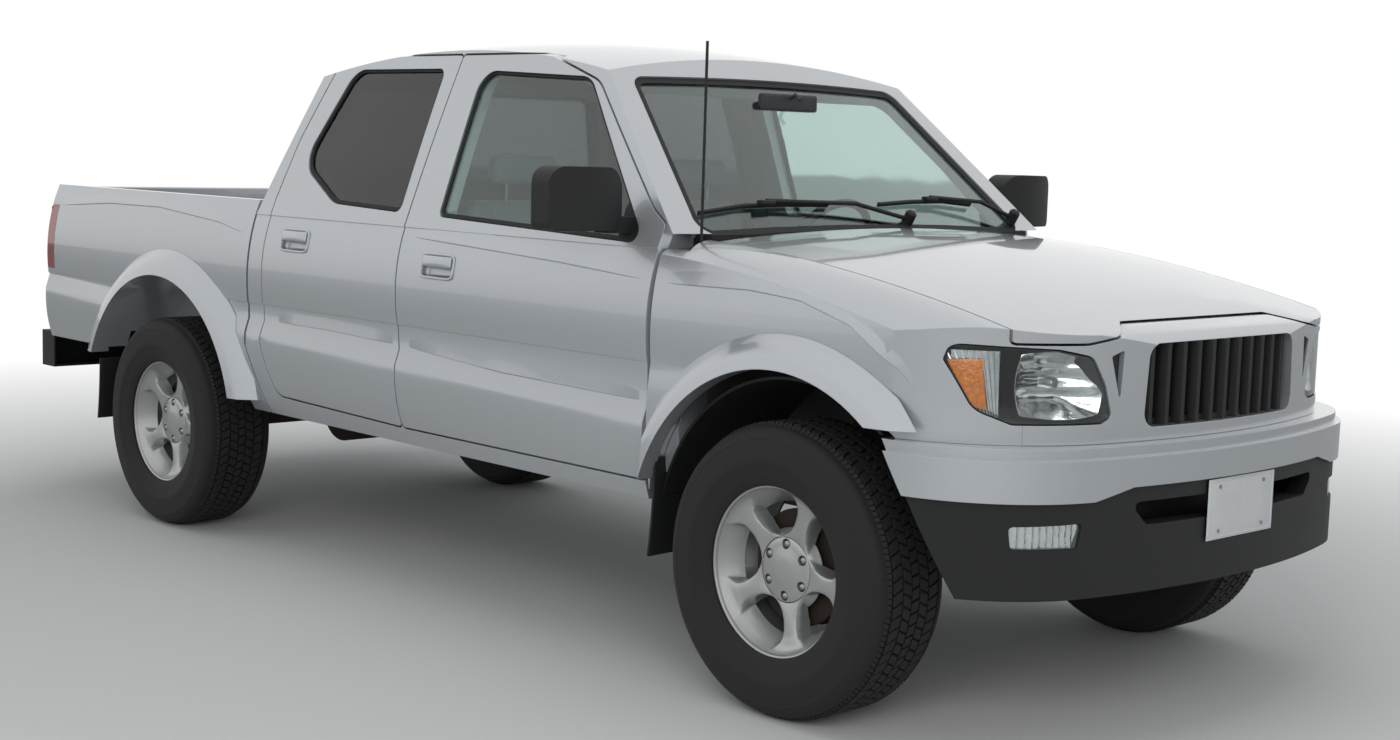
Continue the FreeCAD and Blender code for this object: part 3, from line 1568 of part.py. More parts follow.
# Rims
for corner, (axle, way) in CORNERS.items():
    rim = turned("rim_" + corner, [
        ("sizes.hub_bore", "sizes.mount_outset"),
        ("sizes.hub_pad_radius", "sizes.mount_outset"),
        ("sizes.rim_radius - sizes.rim_wall", "sizes.spoke_outset - sizes.spoke_thickness"),
        ("sizes.rim_radius - sizes.rim_wall", "-sizes.rim_width / 2"),
        ("sizes.rim_radius", "-sizes.rim_width / 2"),
        ("sizes.rim_radius", "sizes.rim_edge"),
        ("sizes.rim_radius - 2 * sizes.rim_wall", "sizes.spoke_outset"),
        ("sizes.hub_bore", "sizes.hub_outset"),
    ])
    windows = loop(rim, "XZ_Plane", "rim_windows_" + corner, [
        ("-sizes.window_inner_half", "sizes.window_inner"),
        ("sizes.window_inner_half", "sizes.window_inner"),
        ("sizes.window_outer_half", "sizes.window_outer"),
        ("-sizes.window_outer_half", "sizes.window_outer"),
    ])
    pocket = rim.newObject("PartDesign::Pocket", "rim_pocket_" + corner)
    pocket.Profile = windows
    pocket.Type = "ThroughAll"
    pocket.Midplane = True
    pattern = rim.newObject("PartDesign::PolarPattern", "rim_pattern_" + corner)
    pattern.Originals = [pocket]
    pattern.Axis = (windows, ["N_Axis"])
    pattern.Angle = math.degrees(2 * math.pi)
    pattern.setExpression("Occurrences", "sizes.spokes")
    rim.Tip = pattern
    if way < 0:
        rim.Placement = Placement(Vector(0, 0, 0), Rotation(Vector(0, 0, 1), math.degrees(math.pi)))
    put(rim, axle, "%d * sizes.track_half" % way, HUB)


# Hubs with brake discs, on the steering knuckles and the rear axle
def hub_unit(label):
    """Left brake disc, wheel flange and spindle, turned about the wheel's axis."""
    rear_face = "-sizes.disc_inset - sizes.disc_thickness / 2"
    front_face = "-sizes.disc_inset + sizes.disc_thickness / 2"
    flange_face = "sizes.mount_outset - sizes.seat_gap"
    return turned(label, [
        ("0", "-sizes.kingpin_offset"), ("sizes.carrier_radius", "-sizes.kingpin_offset"),
        ("sizes.carrier_radius", rear_face), ("sizes.disc_radius", rear_face),
        ("sizes.disc_radius", front_face),
        ("sizes.brake_neck", front_face),
        ("sizes.brake_neck", flange_face + " - sizes.hub_flange_thickness"),
        ("sizes.hub_flange", flange_face + " - sizes.hub_flange_thickness"),
        ("sizes.hub_flange", flange_face), ("sizes.hub_bore - sizes.seat_gap", flange_face),
        ("sizes.hub_bore - sizes.seat_gap", "sizes.spindle_end"), ("0", "sizes.spindle_end"),
    ])


front_hub = put(hub_unit("front_hub"), FRONT, "sizes.track_half", HUB)
upright = block("upright", FRONT + " - sizes.upright_width / 2",
                "sizes.track_half - sizes.kingpin_offset - sizes.upright_thickness / 2",
                HUB + " - sizes.upright_height / 2",
                "sizes.upright_width", "sizes.upright_thickness", "sizes.upright_height")
kingpin = rod("kingpin", "sizes.kingpin_radius",
              "sizes.upright_height + 2 * sizes.panel_gap - 2 * sizes.seat_gap",
              Vector(0, 0, 1))
put(kingpin, FRONT, "sizes.track_half - sizes.kingpin_offset",
    HUB + " - sizes.upright_height / 2 - sizes.panel_gap + sizes.seat_gap")
knuckle = fused("knuckle_left", [front_hub, upright, kingpin])
reflected("knuckle_right", knuckle)

rear_hub = put(hub_unit("rear_hub"), REAR, "sizes.track_half", HUB)
tube = rod("axle_tube", "sizes.axle_tube", "2 * sizes.track_half - 2 * sizes.disc_inset", Vector(0, 1, 0))
put(tube, REAR, "-sizes.track_half + sizes.disc_inset", HUB)
casing = rod("axle_casing", "sizes.diff_radius", "sizes.diff_width", Vector(0, 1, 0))
put(casing, REAR, "-sizes.diff_width / 2", HUB)
fused("rear_axle", [rear_hub, reflected("rear_hub_right", rear_hub), tube, casing])


# Front arms on the frame
def arm(label, low):
    """Left suspension arm plate."""
    rail_face = "sizes.rail_inner + sizes.rail_width + sizes.seat_gap"
    return block(label, FRONT + " - sizes.arm_half", rail_face, low,
                 "2 * sizes.arm_half", "sizes.arm_reach - (%s)" % rail_face,
                 "sizes.arm_thickness")


lower_arm = arm("lower_arm", HUB + " - sizes.upright_height / 2 - sizes.panel_gap - sizes.arm_thickness")
upper_arm = arm("upper_arm", HUB + " + sizes.upright_height / 2 + sizes.panel_gap")
grouped("front_arms", [lower_arm, upper_arm, reflected("lower_arm_right", lower_arm),
                       reflected("upper_arm_right", upper_arm)])

# Ladder frame
rail = padded("rail", [
    (ahead("rail_front"), "sizes.rail_low"),
    (ahead("rail_front"), "sizes.rail_low + sizes.rail_depth"),
    (back("rail_kick_start"), "sizes.rail_low + sizes.rail_depth"),
    (back("rail_kick_end"), "sizes.rail_high + sizes.rail_depth"),
    (back("rail_end"), "sizes.rail_high + sizes.rail_depth"),
    (back("rail_end"), "sizes.rail_high"),
    (back("rail_kick_end"), "sizes.rail_high"),
    (back("rail_kick_start"), "sizes.rail_low"),
], "sizes.rail_width")
put(rail, y="sizes.rail_inner + sizes.rail_width / 2")
tower = block("tower", FRONT + " - sizes.tower_half", "sizes.rail_inner", "sizes.tower_low",
              "2 * sizes.tower_half", "sizes.rail_width", "sizes.rail_low - sizes.tower_low")
bumper_bracket = block("bumper_bracket",
                       "-sizes.overall_length / 2 + sizes.rear_bumper_wall + sizes.seat_gap",
                       "sizes.rail_inner + sizes.panel_gap", "sizes.rail_high",
                       "sizes.overall_length / 2 - sizes.rear_bumper_wall - sizes.seat_gap + "
                       + back("rail_end"),
                       "sizes.rail_width - 2 * sizes.panel_gap", "sizes.bracket_depth")


def member(label, place, low, depth, width="sizes.crossmember_width"):
    """Crossmember between the rails."""
    return block(label, place, "-sizes.rail_inner", low, width, "2 * sizes.rail_inner", depth)


frame_items = [
    rail, tower, bumper_bracket,
    reflected("rail_right", rail), reflected("tower_right", tower),
    reflected("bracket_right", bumper_bracket),
    member("front_member", ahead("front_member"), "sizes.rail_low", "sizes.crossmember_depth"),
    member("axle_member", FRONT + " - sizes.tower_half", "sizes.tube_low", "sizes.tube_high - sizes.tube_low",
           "2 * sizes.tower_half"),
    member("middle_member", back("middle_member"), "sizes.rail_low + sizes.rail_depth - sizes.member_depth",
           "sizes.member_depth"),
    member("rear_member", back("rear_member"), "sizes.rail_high + sizes.rail_depth - sizes.crossmember_depth",
           "sizes.crossmember_depth"),
    member("last_member", back("last_member"), "sizes.rail_high", "sizes.crossmember_depth"),
]
fused("ladder_frame", frame_items)

# Leaf springs with their brackets
leaf = padded("leaf", [
    (back("leaf_front"), "sizes.leaf_eye_height"),
    (back("leaf_front"), "sizes.leaf_eye_height + sizes.leaf_thickness"),
    (REAR + " + sizes.leaf_seat", HUB + " + sizes.axle_tube + sizes.seat_gap + sizes.leaf_thickness"),
    (REAR + " - sizes.leaf_seat", HUB + " + sizes.axle_tube + sizes.seat_gap + sizes.leaf_thickness"),
    (back("leaf_rear"), "sizes.leaf_eye_height + sizes.leaf_thickness"),
    (back("leaf_rear"), "sizes.leaf_eye_height"),
    (REAR + " - sizes.leaf_seat", HUB + " + sizes.axle_tube + sizes.seat_gap"),
    (REAR + " + sizes.leaf_seat", HUB + " + sizes.axle_tube + sizes.seat_gap"),
], "sizes.leaf_width")
put(leaf, y="sizes.leaf_offset")


def leaf_bracket(label, alias):
    """Bracket between the left rail and a leaf's eye."""
    return block(label, back(alias) + " - sizes.bracket_half",
                 "sizes.rail_inner + sizes.rail_width + sizes.seat_gap", "sizes.bracket_low",
                 "2 * sizes.bracket_half",
                 "sizes.leaf_offset + sizes.leaf_width / 2 - sizes.rail_inner - sizes.rail_width"
                 " - sizes.seat_gap",
                 "sizes.bracket_high - sizes.bracket_low")


spring = fused("spring", [leaf, leaf_bracket("front_bracket", "leaf_front"),
                          leaf_bracket("rear_bracket", "leaf_rear")])
grouped("leaf_springs", [spring, reflected("spring_right", spring)])

# Engine with gearbox, driveshaft, exhaust and fuel tank
engine = block("engine_block", back("engine_rear"), "-sizes.engine_half", "sizes.engine_low",
               "sizes.engine_rear + sizes.engine_front", "2 * sizes.engine_half",
               "sizes.engine_top - sizes.engine_low")
gearbox = block("gearbox", back("gearbox_rear"), "-sizes.gearbox_half", "sizes.gearbox_low",
                "sizes.gearbox_rear - sizes.engine_rear", "2 * sizes.gearbox_half",
                "sizes.gearbox_top - sizes.gearbox_low")
engine_mount = block("engine_mount", FRONT + " - sizes.engine_mount_half",
                     "-sizes.rail_inner + sizes.seat_gap", "sizes.engine_mount_low",
                     "2 * sizes.engine_mount_half", "2 * sizes.rail_inner - 2 * sizes.seat_gap",
                     "sizes.engine_mount_high - sizes.engine_mount_low")
fused("engine", [engine, gearbox, engine_mount])

shaft_start = Vector(behind(size("gearbox_rear")), 0, (size("gearbox_low") + size("gearbox_top")) / 2)
shaft_end = Vector(REAR_AXLE + size("diff_radius"), 0, HUB_HEIGHT)
shaft = rod("driveshaft", "sizes.shaft_radius", "sizes.shaft_length", shaft_end - shaft_start)
put(shaft, back("gearbox_rear") + " - sizes.panel_gap / 2", "0",
    "(sizes.gearbox_low + sizes.gearbox_top) / 2")

pipe = rod("exhaust_pipe", "sizes.exhaust_radius", "sizes.exhaust_end - sizes.exhaust_front", Vector(1, 0, 0))
put(pipe, back("exhaust_end"), "-sizes.exhaust_offset", "sizes.exhaust_height")
silencer = rod("silencer", "sizes.silencer_radius", "sizes.silencer_length", Vector(1, 0, 0))
put(silencer, back("silencer_front") + " - sizes.silencer_length", "-sizes.exhaust_offset",
    "sizes.exhaust_height")
hanger = block("hanger", back("hanger_back"), "-sizes.exhaust_offset - sizes.hanger_half",
               "sizes.exhaust_height",
               "2 * sizes.hanger_half", "2 * sizes.hanger_half",
               "sizes.floor_bottom - sizes.seat_gap - sizes.exhaust_height")
fused("exhaust", [pipe, silencer, hanger])

block("fuel_tank", back("tank_rear"), "sizes.tank_inner", "sizes.tank_low",
      "sizes.tank_rear - sizes.tank_front",
      "sizes.tank_outer - sizes.tank_inner", "sizes.tank_top - sizes.tank_low")

# Rear step bumper, hollow and open to the front, with the tow ball's hole
outer_bumper = block("rear_bumper_outer", "-sizes.overall_length / 2", "-sizes.rear_bumper_half",
                     "sizes.rear_bumper_bottom", back("rear_bumper_front") + " + sizes.overall_length / 2",
                     "2 * sizes.rear_bumper_half", "sizes.rear_bumper_top - sizes.rear_bumper_bottom")
step_room = block("step_room", "-sizes.overall_length / 2 - sizes.panel_gap", "-sizes.step_half",
                  "sizes.rear_bumper_top - sizes.step_drop",
                  back("rear_bumper_front") + " + sizes.overall_length / 2 + 2 * sizes.panel_gap",
                  "2 * sizes.step_half", "2 * sizes.step_drop")
inner_length = back("rear_bumper_front") + " + sizes.overall_length / 2"
inner_wide = block("rear_bumper_inner", "-sizes.overall_length / 2 + sizes.rear_bumper_wall",
                   "-sizes.rear_bumper_half + sizes.rear_bumper_wall",
                   "sizes.rear_bumper_bottom + sizes.rear_bumper_wall", inner_length,
                   "2 * sizes.rear_bumper_half - 2 * sizes.rear_bumper_wall",
                   "sizes.rear_bumper_top - sizes.rear_bumper_bottom - 2 * sizes.rear_bumper_wall")
inner_step = block("rear_bumper_step", "-sizes.overall_length / 2 + sizes.rear_bumper_wall",
                   "-sizes.step_half - sizes.rear_bumper_wall",
                   "sizes.rear_bumper_top - sizes.step_drop - sizes.rear_bumper_wall", inner_length,
                   "2 * sizes.step_half + 2 * sizes.rear_bumper_wall", "2 * sizes.step_drop")
room = doc.addObject("Part::Cut", "bumper_room")
room.Base = inner_wide
room.Tool = inner_step
solid_bumper = doc.addObject("Part::Cut", "bumper_solid")
solid_bumper.Base = outer_bumper
solid_bumper.Tool = step_room
bumper_shell = doc.addObject("Part::Cut", "bumper_shell")
bumper_shell.Base = solid_bumper
bumper_shell.Tool = room
ball_hole = rod("ball_hole", "sizes.ball_hole", "sizes.rear_bumper_top", Vector(0, 0, 1))
put(ball_hole, "-sizes.overall_length / 2 + sizes.ball_setback", "0",
    "sizes.rear_bumper_bottom + sizes.step_drop")
rear_bumper = doc.addObject("Part::Cut", "rear_bumper")
rear_bumper.Label = "rear_bumper"
rear_bumper.Base = bumper_shell
rear_bumper.Tool = ball_hole

# Steering wheel, turning about the column
wheel_tilt = Rotation(Vector(0, 1, 0), math.degrees(math.pi / 2) + size("column_angle"))
ring_item = turned("wheel_ring", [
    ("sizes.wheel_ring - sizes.wheel_tube", "0"),
    ("sizes.wheel_ring - sizes.wheel_tube / 2", "sizes.wheel_tube"),
    ("sizes.wheel_ring + sizes.wheel_tube / 2", "sizes.wheel_tube"),
    ("sizes.wheel_ring + sizes.wheel_tube", "0"),
    ("sizes.wheel_ring + sizes.wheel_tube / 2", "-sizes.wheel_tube"),
    ("sizes.wheel_ring - sizes.wheel_tube / 2", "-sizes.wheel_tube"),
])
ring_item.Placement = Placement(Vector(0, 0, 0), Rotation(Vector(1, 0, 0), math.degrees(math.pi / 2)))
wheel_hub = rod("wheel_hub", "sizes.wheel_hub", "sizes.wheel_hub_depth", Vector(0, 0, 1))
cross_spoke = block("cross_spoke", "-sizes.wheel_spoke_half", "-sizes.wheel_ring", "-sizes.wheel_tube / 2",
                    "2 * sizes.wheel_spoke_half", "2 * sizes.wheel_ring", "sizes.wheel_tube")
low_spoke = block("low_spoke", "0", "-sizes.wheel_spoke_half", "-sizes.wheel_tube / 2",
                  "sizes.wheel_ring", "2 * sizes.wheel_spoke_half", "sizes.wheel_tube")
steering_wheel = fused("steering_wheel", [ring_item, wheel_hub, cross_spoke, low_spoke])
steering_wheel.Placement = Placement(Vector(0, 0, 0), wheel_tilt)
put(steering_wheel, back("wheel_centre_back"), "sizes.wheel_centre_offset", "sizes.wheel_centre_height")

# Dashboard with the steering column
dash = padded("dash", [
    (back("dash_front"), "sizes.dash_low"), (back("dash_front"), "sizes.dash_top"),
    (back("dash_brow_back"), "sizes.dash_top"), (back("dash_rear"), "sizes.dash_rear_level"),
    (back("dash_rear"), "sizes.dash_knee"), (back("dash_knee_back"), "sizes.dash_low"),
], "2 * sizes.dash_half")
column = rod("column", "sizes.column_radius", "sizes.column_length", Vector(0, 0, 1))
column.Placement = Placement(Vector(0, 0, 0), wheel_tilt)
clear_run = "(sizes.wheel_hub_depth + sizes.seat_gap)"
put(column, back("wheel_centre_back") + " + %s * cos(sizes.column_angle * 1 deg)" % clear_run,
    "sizes.wheel_centre_offset",
    "sizes.wheel_centre_height - %s * sin(sizes.column_angle * 1 deg)" % clear_run)
fused("dashboard", [dash, column])


# Seats
def seat(label, front, rear, cushion, top, lean, depth, width):
    """Seat on the floor: cushion, leaning back and inset base."""
    return padded(label, [
        (back(front) + " - sizes.seat_base_inset", "sizes.seat_floor"),
        (back(front), "sizes.%s" % cushion),
        ("%s - sizes.%s + sizes.%s" % (FRONT, rear, depth), "sizes.%s" % cushion),
        ("%s - sizes.%s + sizes.%s - sizes.%s" % (FRONT, rear, depth, lean), "sizes.%s" % top),
        ("%s - sizes.%s - sizes.%s" % (FRONT, rear, lean), "sizes.%s" % top),
        ("%s - sizes.%s" % (FRONT, rear), "sizes.seat_floor"),
    ], width)


driver_seat = seat("driver_seat", "seat_front", "seat_rear", "seat_cushion", "seat_back_top",
                   "seat_back_lean", "seat_back_depth", "2 * sizes.seat_half")
put(driver_seat, y="sizes.seat_offset")
seat("rear_bench", "bench_front", "bench_rear", "bench_cushion", "bench_back_top", "bench_back_lean",
     "bench_back_depth", "2 * sizes.bench_half")
grouped("front_seats", [driver_seat, reflected("passenger_seat", driver_seat)])

# Checks, then one STEP file for each sub-part
NODES = [
    "cab_shell", "windshield", "rear_window", "door_front_left", "door_front_right", "door_rear_left",
    "door_rear_right", "door_glass_front_left", "door_glass_front_right", "door_glass_rear_left",
    "door_glass_rear_right", "mirror_left", "mirror_right", "hood", "fender_left", "fender_right",
    "grille_surround", "grille", "headlamps", "front_bumper", "front_valance", "fog_lamps", "front_flares",
    "front_liners", "cowl", "cargo_bed", "tailgate", "tail_lamps", "rear_flares", "rear_bumper",
    "tyre_front_left", "tyre_front_right", "tyre_rear_left", "tyre_rear_right",
    "rim_front_left", "rim_front_right", "rim_rear_left", "rim_rear_right",
    "knuckle_left", "knuckle_right", "front_arms", "rear_axle", "leaf_springs", "ladder_frame",
    "engine", "driveshaft", "exhaust", "fuel_tank", "steering_wheel", "dashboard", "front_seats",
    "rear_bench",
]
doc.recompute()
for item in doc.Objects:
    for word in ("Invalid", "Error"):
        if word in item.State:
            raise RuntimeError("%s is in state %s" % (item.Label, item.State))
os.makedirs("parts", exist_ok=True)
for name in NODES:
    item = doc.getObjectsByLabel(name)[0]
    if item.Shape.isNull() or not item.Shape.isValid():
        raise RuntimeError("%s has no valid shape" % name)
    item.Shape.exportStep(os.path.join("parts", name + ".step"))
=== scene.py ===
"""Looks of a four-door pickup truck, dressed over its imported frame. Metres, in the frame's own axes:
X forward, Y to the truck's left, Z up, the ground at zero."""

import json
import math

import bpy
from mathutils import Matrix, Vector


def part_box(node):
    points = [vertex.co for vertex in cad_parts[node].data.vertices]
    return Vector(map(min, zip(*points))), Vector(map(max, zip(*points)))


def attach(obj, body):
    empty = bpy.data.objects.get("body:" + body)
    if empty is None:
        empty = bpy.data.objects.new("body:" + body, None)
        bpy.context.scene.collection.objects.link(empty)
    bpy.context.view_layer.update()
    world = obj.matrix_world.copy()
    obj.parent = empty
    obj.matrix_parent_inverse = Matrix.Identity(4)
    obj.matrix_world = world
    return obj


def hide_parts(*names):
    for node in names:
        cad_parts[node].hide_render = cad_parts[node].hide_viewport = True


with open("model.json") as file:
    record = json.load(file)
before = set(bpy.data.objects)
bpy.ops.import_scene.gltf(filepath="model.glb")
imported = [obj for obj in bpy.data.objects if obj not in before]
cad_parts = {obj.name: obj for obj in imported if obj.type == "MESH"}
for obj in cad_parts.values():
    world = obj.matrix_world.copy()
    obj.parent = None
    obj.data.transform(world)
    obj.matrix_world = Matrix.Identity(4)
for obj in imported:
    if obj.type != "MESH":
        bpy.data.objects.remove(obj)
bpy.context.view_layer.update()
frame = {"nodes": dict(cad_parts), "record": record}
nodes = frame["nodes"]
bodies = frame["record"]["behaviour"]["bodies"]
MM = 0.001
PANEL_ANGLE = 32
TURN = 2 * math.pi
WHEELS = ("front_left", "front_right", "rear_left", "rear_right")
SHORT = {"front_left": "fl", "front_right": "fr", "rear_left": "rl", "rear_right": "rr"}
SIDES = {"left": 1, "right": -1}
FORWARD, LEFT, UP = Vector((1, 0, 0)), Vector((0, 1, 0)), Vector((0, 0, 1))
MIRRORED = Matrix.Scale(-1, 4, LEFT)


# Materials: one helper for colours, one for nodes, one for a surface with grain
def colour(text):
    """Linear colour of an sRGB hex value."""
    parts = [int(text[i:i + 2], 16) / 255 for i in (1, 3, 5)]
    linear = [p / 12.92 if p <= 0.04045 else ((p + 0.055) / 1.055) ** 2.4 for p in parts]
    return (*linear, 1.0)


def node(owner, kind, feeds=None, **settings):
    """Add a node, set it and feed its inputs with values or other nodes' outputs."""
    made = owner.node_tree.nodes.new(kind)
    for name, value in settings.items():
        setattr(made, name, value)
    for name, value in (feeds or {}).items():
        if isinstance(value, bpy.types.NodeSocket):
            owner.node_tree.links.new(value, made.inputs[name])
        else:
            made.inputs[name].default_value = value
    return made


def blended(owner, share, first, second, end="Material Output"):
    """Show one shader, and another in its place as far as a share says."""
    mixed = node(owner, "ShaderNodeMixShader", {"Fac": share, 1: first, 2: second})
    owner.node_tree.links.new(mixed.outputs["Shader"], owner.node_tree.nodes[end].inputs["Surface"])


def surface(name, dark, light, roughness, grain_mm, relief_mm=0.0, stretch=(1, 1, 1), spread=0.08, **sockets):
    """A material whose colour runs between two tones and whose gloss and relief follow one grain."""
    material = bpy.data.materials.new(name)
    material.use_nodes = True
    shader = material.node_tree.nodes["Principled BSDF"]
    place = node(material, "ShaderNodeTexCoord")
    turned = node(material, "ShaderNodeMapping", {"Vector": place.outputs["Object"], "Scale": stretch})
    grain = node(material, "ShaderNodeTexNoise", {
        "Vector": turned.outputs["Vector"], "Scale": 1 / (grain_mm * MM), "Detail": 3.0})
    tone = node(material, "ShaderNodeMix", {"Factor": grain.outputs["Fac"]}, data_type="RGBA")
    tone.inputs["A"].default_value = colour(dark)
    tone.inputs["B"].default_value = colour(light)
    gloss = node(material, "ShaderNodeMapRange", {
        "Value": grain.outputs["Fac"], "To Min": roughness - spread, "To Max": roughness + spread})
    links = material.node_tree.links
    links.new(tone.outputs["Result"], shader.inputs["Base Color"])
    links.new(gloss.outputs["Result"], shader.inputs["Roughness"])
    if relief_mm:
        relief = node(material, "ShaderNodeBump", {
            "Height": grain.outputs["Fac"], "Distance": relief_mm * MM, "Strength": 1.0})
        links.new(relief.outputs["Normal"], shader.inputs["Normal"])
    for socket, value in sockets.items():
        shader.inputs[socket.replace("_", " ")].default_value = value
    return material


def rounded_edges(material, radius_mm):
    """Let light catch the pressed edges of a panel, whose bend is a few millimetres wide."""
    edge = node(material, "ShaderNodeBevel", {"Radius": radius_mm * MM}, samples=6)
    normal = material.node_tree.nodes["Principled BSDF"].inputs["Normal"]
    if normal.links:
        normal = normal.links[0].from_node.inputs["Normal"]
    material.node_tree.links.new(edge.outputs["Normal"], normal)
    return material


def clear(material):
    """Let lamps shine through a pane, so that what is behind it is lit."""
    tree = material.node_tree
    shader = tree.nodes["Principled BSDF"]
    shader.inputs["Transmission Weight"].default_value = 1.0
    rays = node(material, "ShaderNodeLightPath")
    through = node(material, "ShaderNodeBsdfTransparent")
    tree.links.new(shader.inputs["Base Color"].links[0].from_socket, through.inputs["Color"])
    blended(material, rays.outputs["Is Shadow Ray"], shader.outputs["BSDF"], through.outputs["BSDF"])
    return material


# Silver metallic clearcoat paint: fine aluminium flakes under a smooth gloss coat.
# The flakes are drawn about 2 mm across, as coarse as it takes for them to show at all.
paint = rounded_edges(surface("metallic clearcoat paint", "#a9adb1", "#bdc1c5", 0.34, 2.0, Metallic=0.62,
                              Coat_Weight=1.0, Coat_Roughness=0.04), 2.5)
# Moulded ABS with a leather-like grain, which turns the light matt and slightly grey
black_plastic = rounded_edges(surface("grained moulded abs", "#0b0c0d", "#131415", 0.62, 1.6, 0.25), 2.0)
# Extruded EPDM rubber round the windows: dull, almost without a highlight
seal_rubber = surface("extruded epdm rubber", "#0e0f10", "#191a1b", 0.7, 4.0, 0.05)
# Clear toughened glass with the faint green that iron gives it
clear_glass = clear(surface("toughened float glass", "#cddfdb", "#d4e4e1", 0.02, 300.0, spread=0.01, IOR=1.5))
# Privacy glass, dyed brown-grey in the melt
dark_glass = clear(surface("privacy glass", "#4c4b4e", "#545356", 0.02, 300.0, spread=0.01, IOR=1.5))
# Moulded polycarbonate lamp lens, hard-coated
lamp_lens = clear(surface("hard coated polycarbonate", "#eef1f2", "#f6f8f8", 0.03, 200.0,
                          spread=0.01, IOR=1.58))
# Dyed and frosted acrylic: amber, red and clear parts of the lamps
amber_lens = surface("amber acrylic", "#8f4204", "#cf7c16", 0.2, 9.0, 2.5, spread=0.04, Coat_Weight=0.3)
red_lens = surface("red acrylic", "#7c0d0f", "#9c1b1a", 0.1, 8.0, 0.3, spread=0.03, Coat_Weight=1.0)
white_lens = surface("frosted clear acrylic", "#c9cbcc", "#dadcdd", 0.15, 8.0, 0.6,
                     spread=0.04, Coat_Weight=1.0)
# Vacuum-metallised reflector: bright, with the soft ripple of the moulding under it
chrome = surface("vacuum metallised reflector", "#c9cccd", "#dfe1e2", 0.12, 14.0, 0.5,
                 spread=0.05, Metallic=1.0)
# Vulcanised tyre rubber, bloomed grey-brown where the road has worn it
tyre_rubber = surface("vulcanised tyre rubber", "#131313", "#1f1e1e", 0.78, 5.0, 0.15)
# Cast alloy with a silver lacquer over a slight sand-cast orange peel
alloy = rounded_edges(surface("lacquered cast alloy", "#a3a5a5", "#b5b6b5", 0.34, 3.0, 0.03, Metallic=0.75,
                              Coat_Weight=0.6, Coat_Roughness=0.1), 2.0)
# Forged and cast iron under the floor, with a brown bloom of rust
dark_iron = surface("rust bloomed cast iron", "#2a2522", "#41362f", 0.8, 12.0, 0.6, Metallic=0.35)
frame_steel = surface("chassis black over rolled steel", "#161616", "#252423", 0.6, 9.0, 0.2, Metallic=0.2)
pipe_steel = surface("aluminised steel tube", "#5b544c", "#7a736a", 0.5, 15.0, 0.15, Metallic=0.85)
bright_steel = surface("zinc plated steel", "#8f9294", "#b4b6b7", 0.35, 4.0, 0.05, Metallic=1.0)
# Injection moulded polypropylene trim in two greys, with a fine pebble grain
grey_trim = surface("pebbled polypropylene trim", "#55585a", "#63666a", 0.6, 1.5, 0.15)
dark_trim = surface("dark polypropylene trim", "#26282a", "#303234", 0.6, 1.5, 0.15)
# Flat woven polyester seat cloth: the weave is drawn 3 mm wide so that it shows
seat_fabric = surface("woven polyester cloth", "#62666a", "#7d8184", 0.9, 3.0, 0.5, stretch=(1, 3, 1),
                      Sheen_Weight=0.25, Sheen_Roughness=0.4)
# Silvered glass of the door mirrors, and the white paint of the blank plate
mirror_glass = surface("silvered mirror glass", "#d5d8d9", "#dcdfe0", 0.02, 200.0, spread=0.01, Metallic=1.0)
blank_white = surface("painted blank plate", "#c4c6c7", "#cfd1d2", 0.4, 30.0, 0.05)


# Modelling helpers
def out_of_edit():
    """Leave edit mode, if a piece is in it."""
    if bpy.context.object and bpy.context.object.mode == "EDIT":
        bpy.ops.object.mode_set(mode="OBJECT")


def all_of_it():
    """Select all of the piece in edit mode."""
    bpy.ops.mesh.select_all(action="SELECT")


def alone(piece):
    """Make a piece the only one selected, and the active one."""
    out_of_edit()
    bpy.ops.object.select_all(action="DESELECT")
    piece.select_set(True)
    bpy.context.view_layer.objects.active = piece
    return piece


def settled(piece):
    """Put a piece's place, turn and size into its mesh."""
    alone(piece)
    bpy.ops.object.transform_apply(location=True, rotation=True, scale=True)
    return piece


def started(kind, name, **where):
    """Start a piece from a primitive, left in edit mode with all of it selected."""
    out_of_edit()
    bpy.ops.object.select_all(action="DESELECT")
    getattr(bpy.ops.mesh, "primitive_" + kind + "_add")(**where)
    piece = bpy.context.object
    piece.name = name
    piece.data.name = name
    bpy.context.tool_settings.mesh_select_mode = (True, False, False)
    bpy.ops.object.mode_set(mode="EDIT")
    return piece


def choose(piece, kind, test):
    """Select the corners, edges or faces of a piece that pass a test, and stay in edit mode."""
    out_of_edit()
    order = ("vertices", "edges", "polygons")
    bpy.context.tool_settings.mesh_select_mode = tuple(kind == k for k in order)
    for k in order:
        for part in getattr(piece.data, k):
            part.select = kind == k and test(part)
    bpy.ops.object.mode_set(mode="EDIT")


def finished(piece, material, body, slot=None, angle=35, replaces=()):
    """Bring a piece out of edit mode, put its place in its mesh, shade it and let it ride."""
    if piece.mode == "EDIT":
        all_of_it()
        bpy.ops.mesh.normals_make_consistent(inside=False)
    settled(piece)
    bpy.ops.object.shade_smooth_by_angle(angle=math.radians(angle))
    piece.data.materials.clear()
    piece.data.materials.append(material)
    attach(piece, body)
    if replaces:
        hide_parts(*replaces)
    return piece


def trimmed(piece, material=black_plastic):
    """Finish a piece of dark trim that rides on the truck."""
    return finished(piece, material, "truck", "black_plastic")


def modified(piece, kind, **settings):
    """Add a modifier to a piece and apply it."""
    alone(piece)
    modifier = piece.modifiers.new(kind.lower(), kind)
    for name, value in settings.items():
        setattr(modifier, name, value)
    bpy.ops.object.modifier_apply(modifier=modifier.name)
    return piece


def walled(piece, wall, material, slot=None, angle=35, replaces=(), body="truck"):
    """Give an open skin a wall on its inner side, and let it ride."""
    modified(piece, "SOLIDIFY", thickness=wall, offset=-1.0)
    return finished(piece, material, body, slot, angle, replaces)


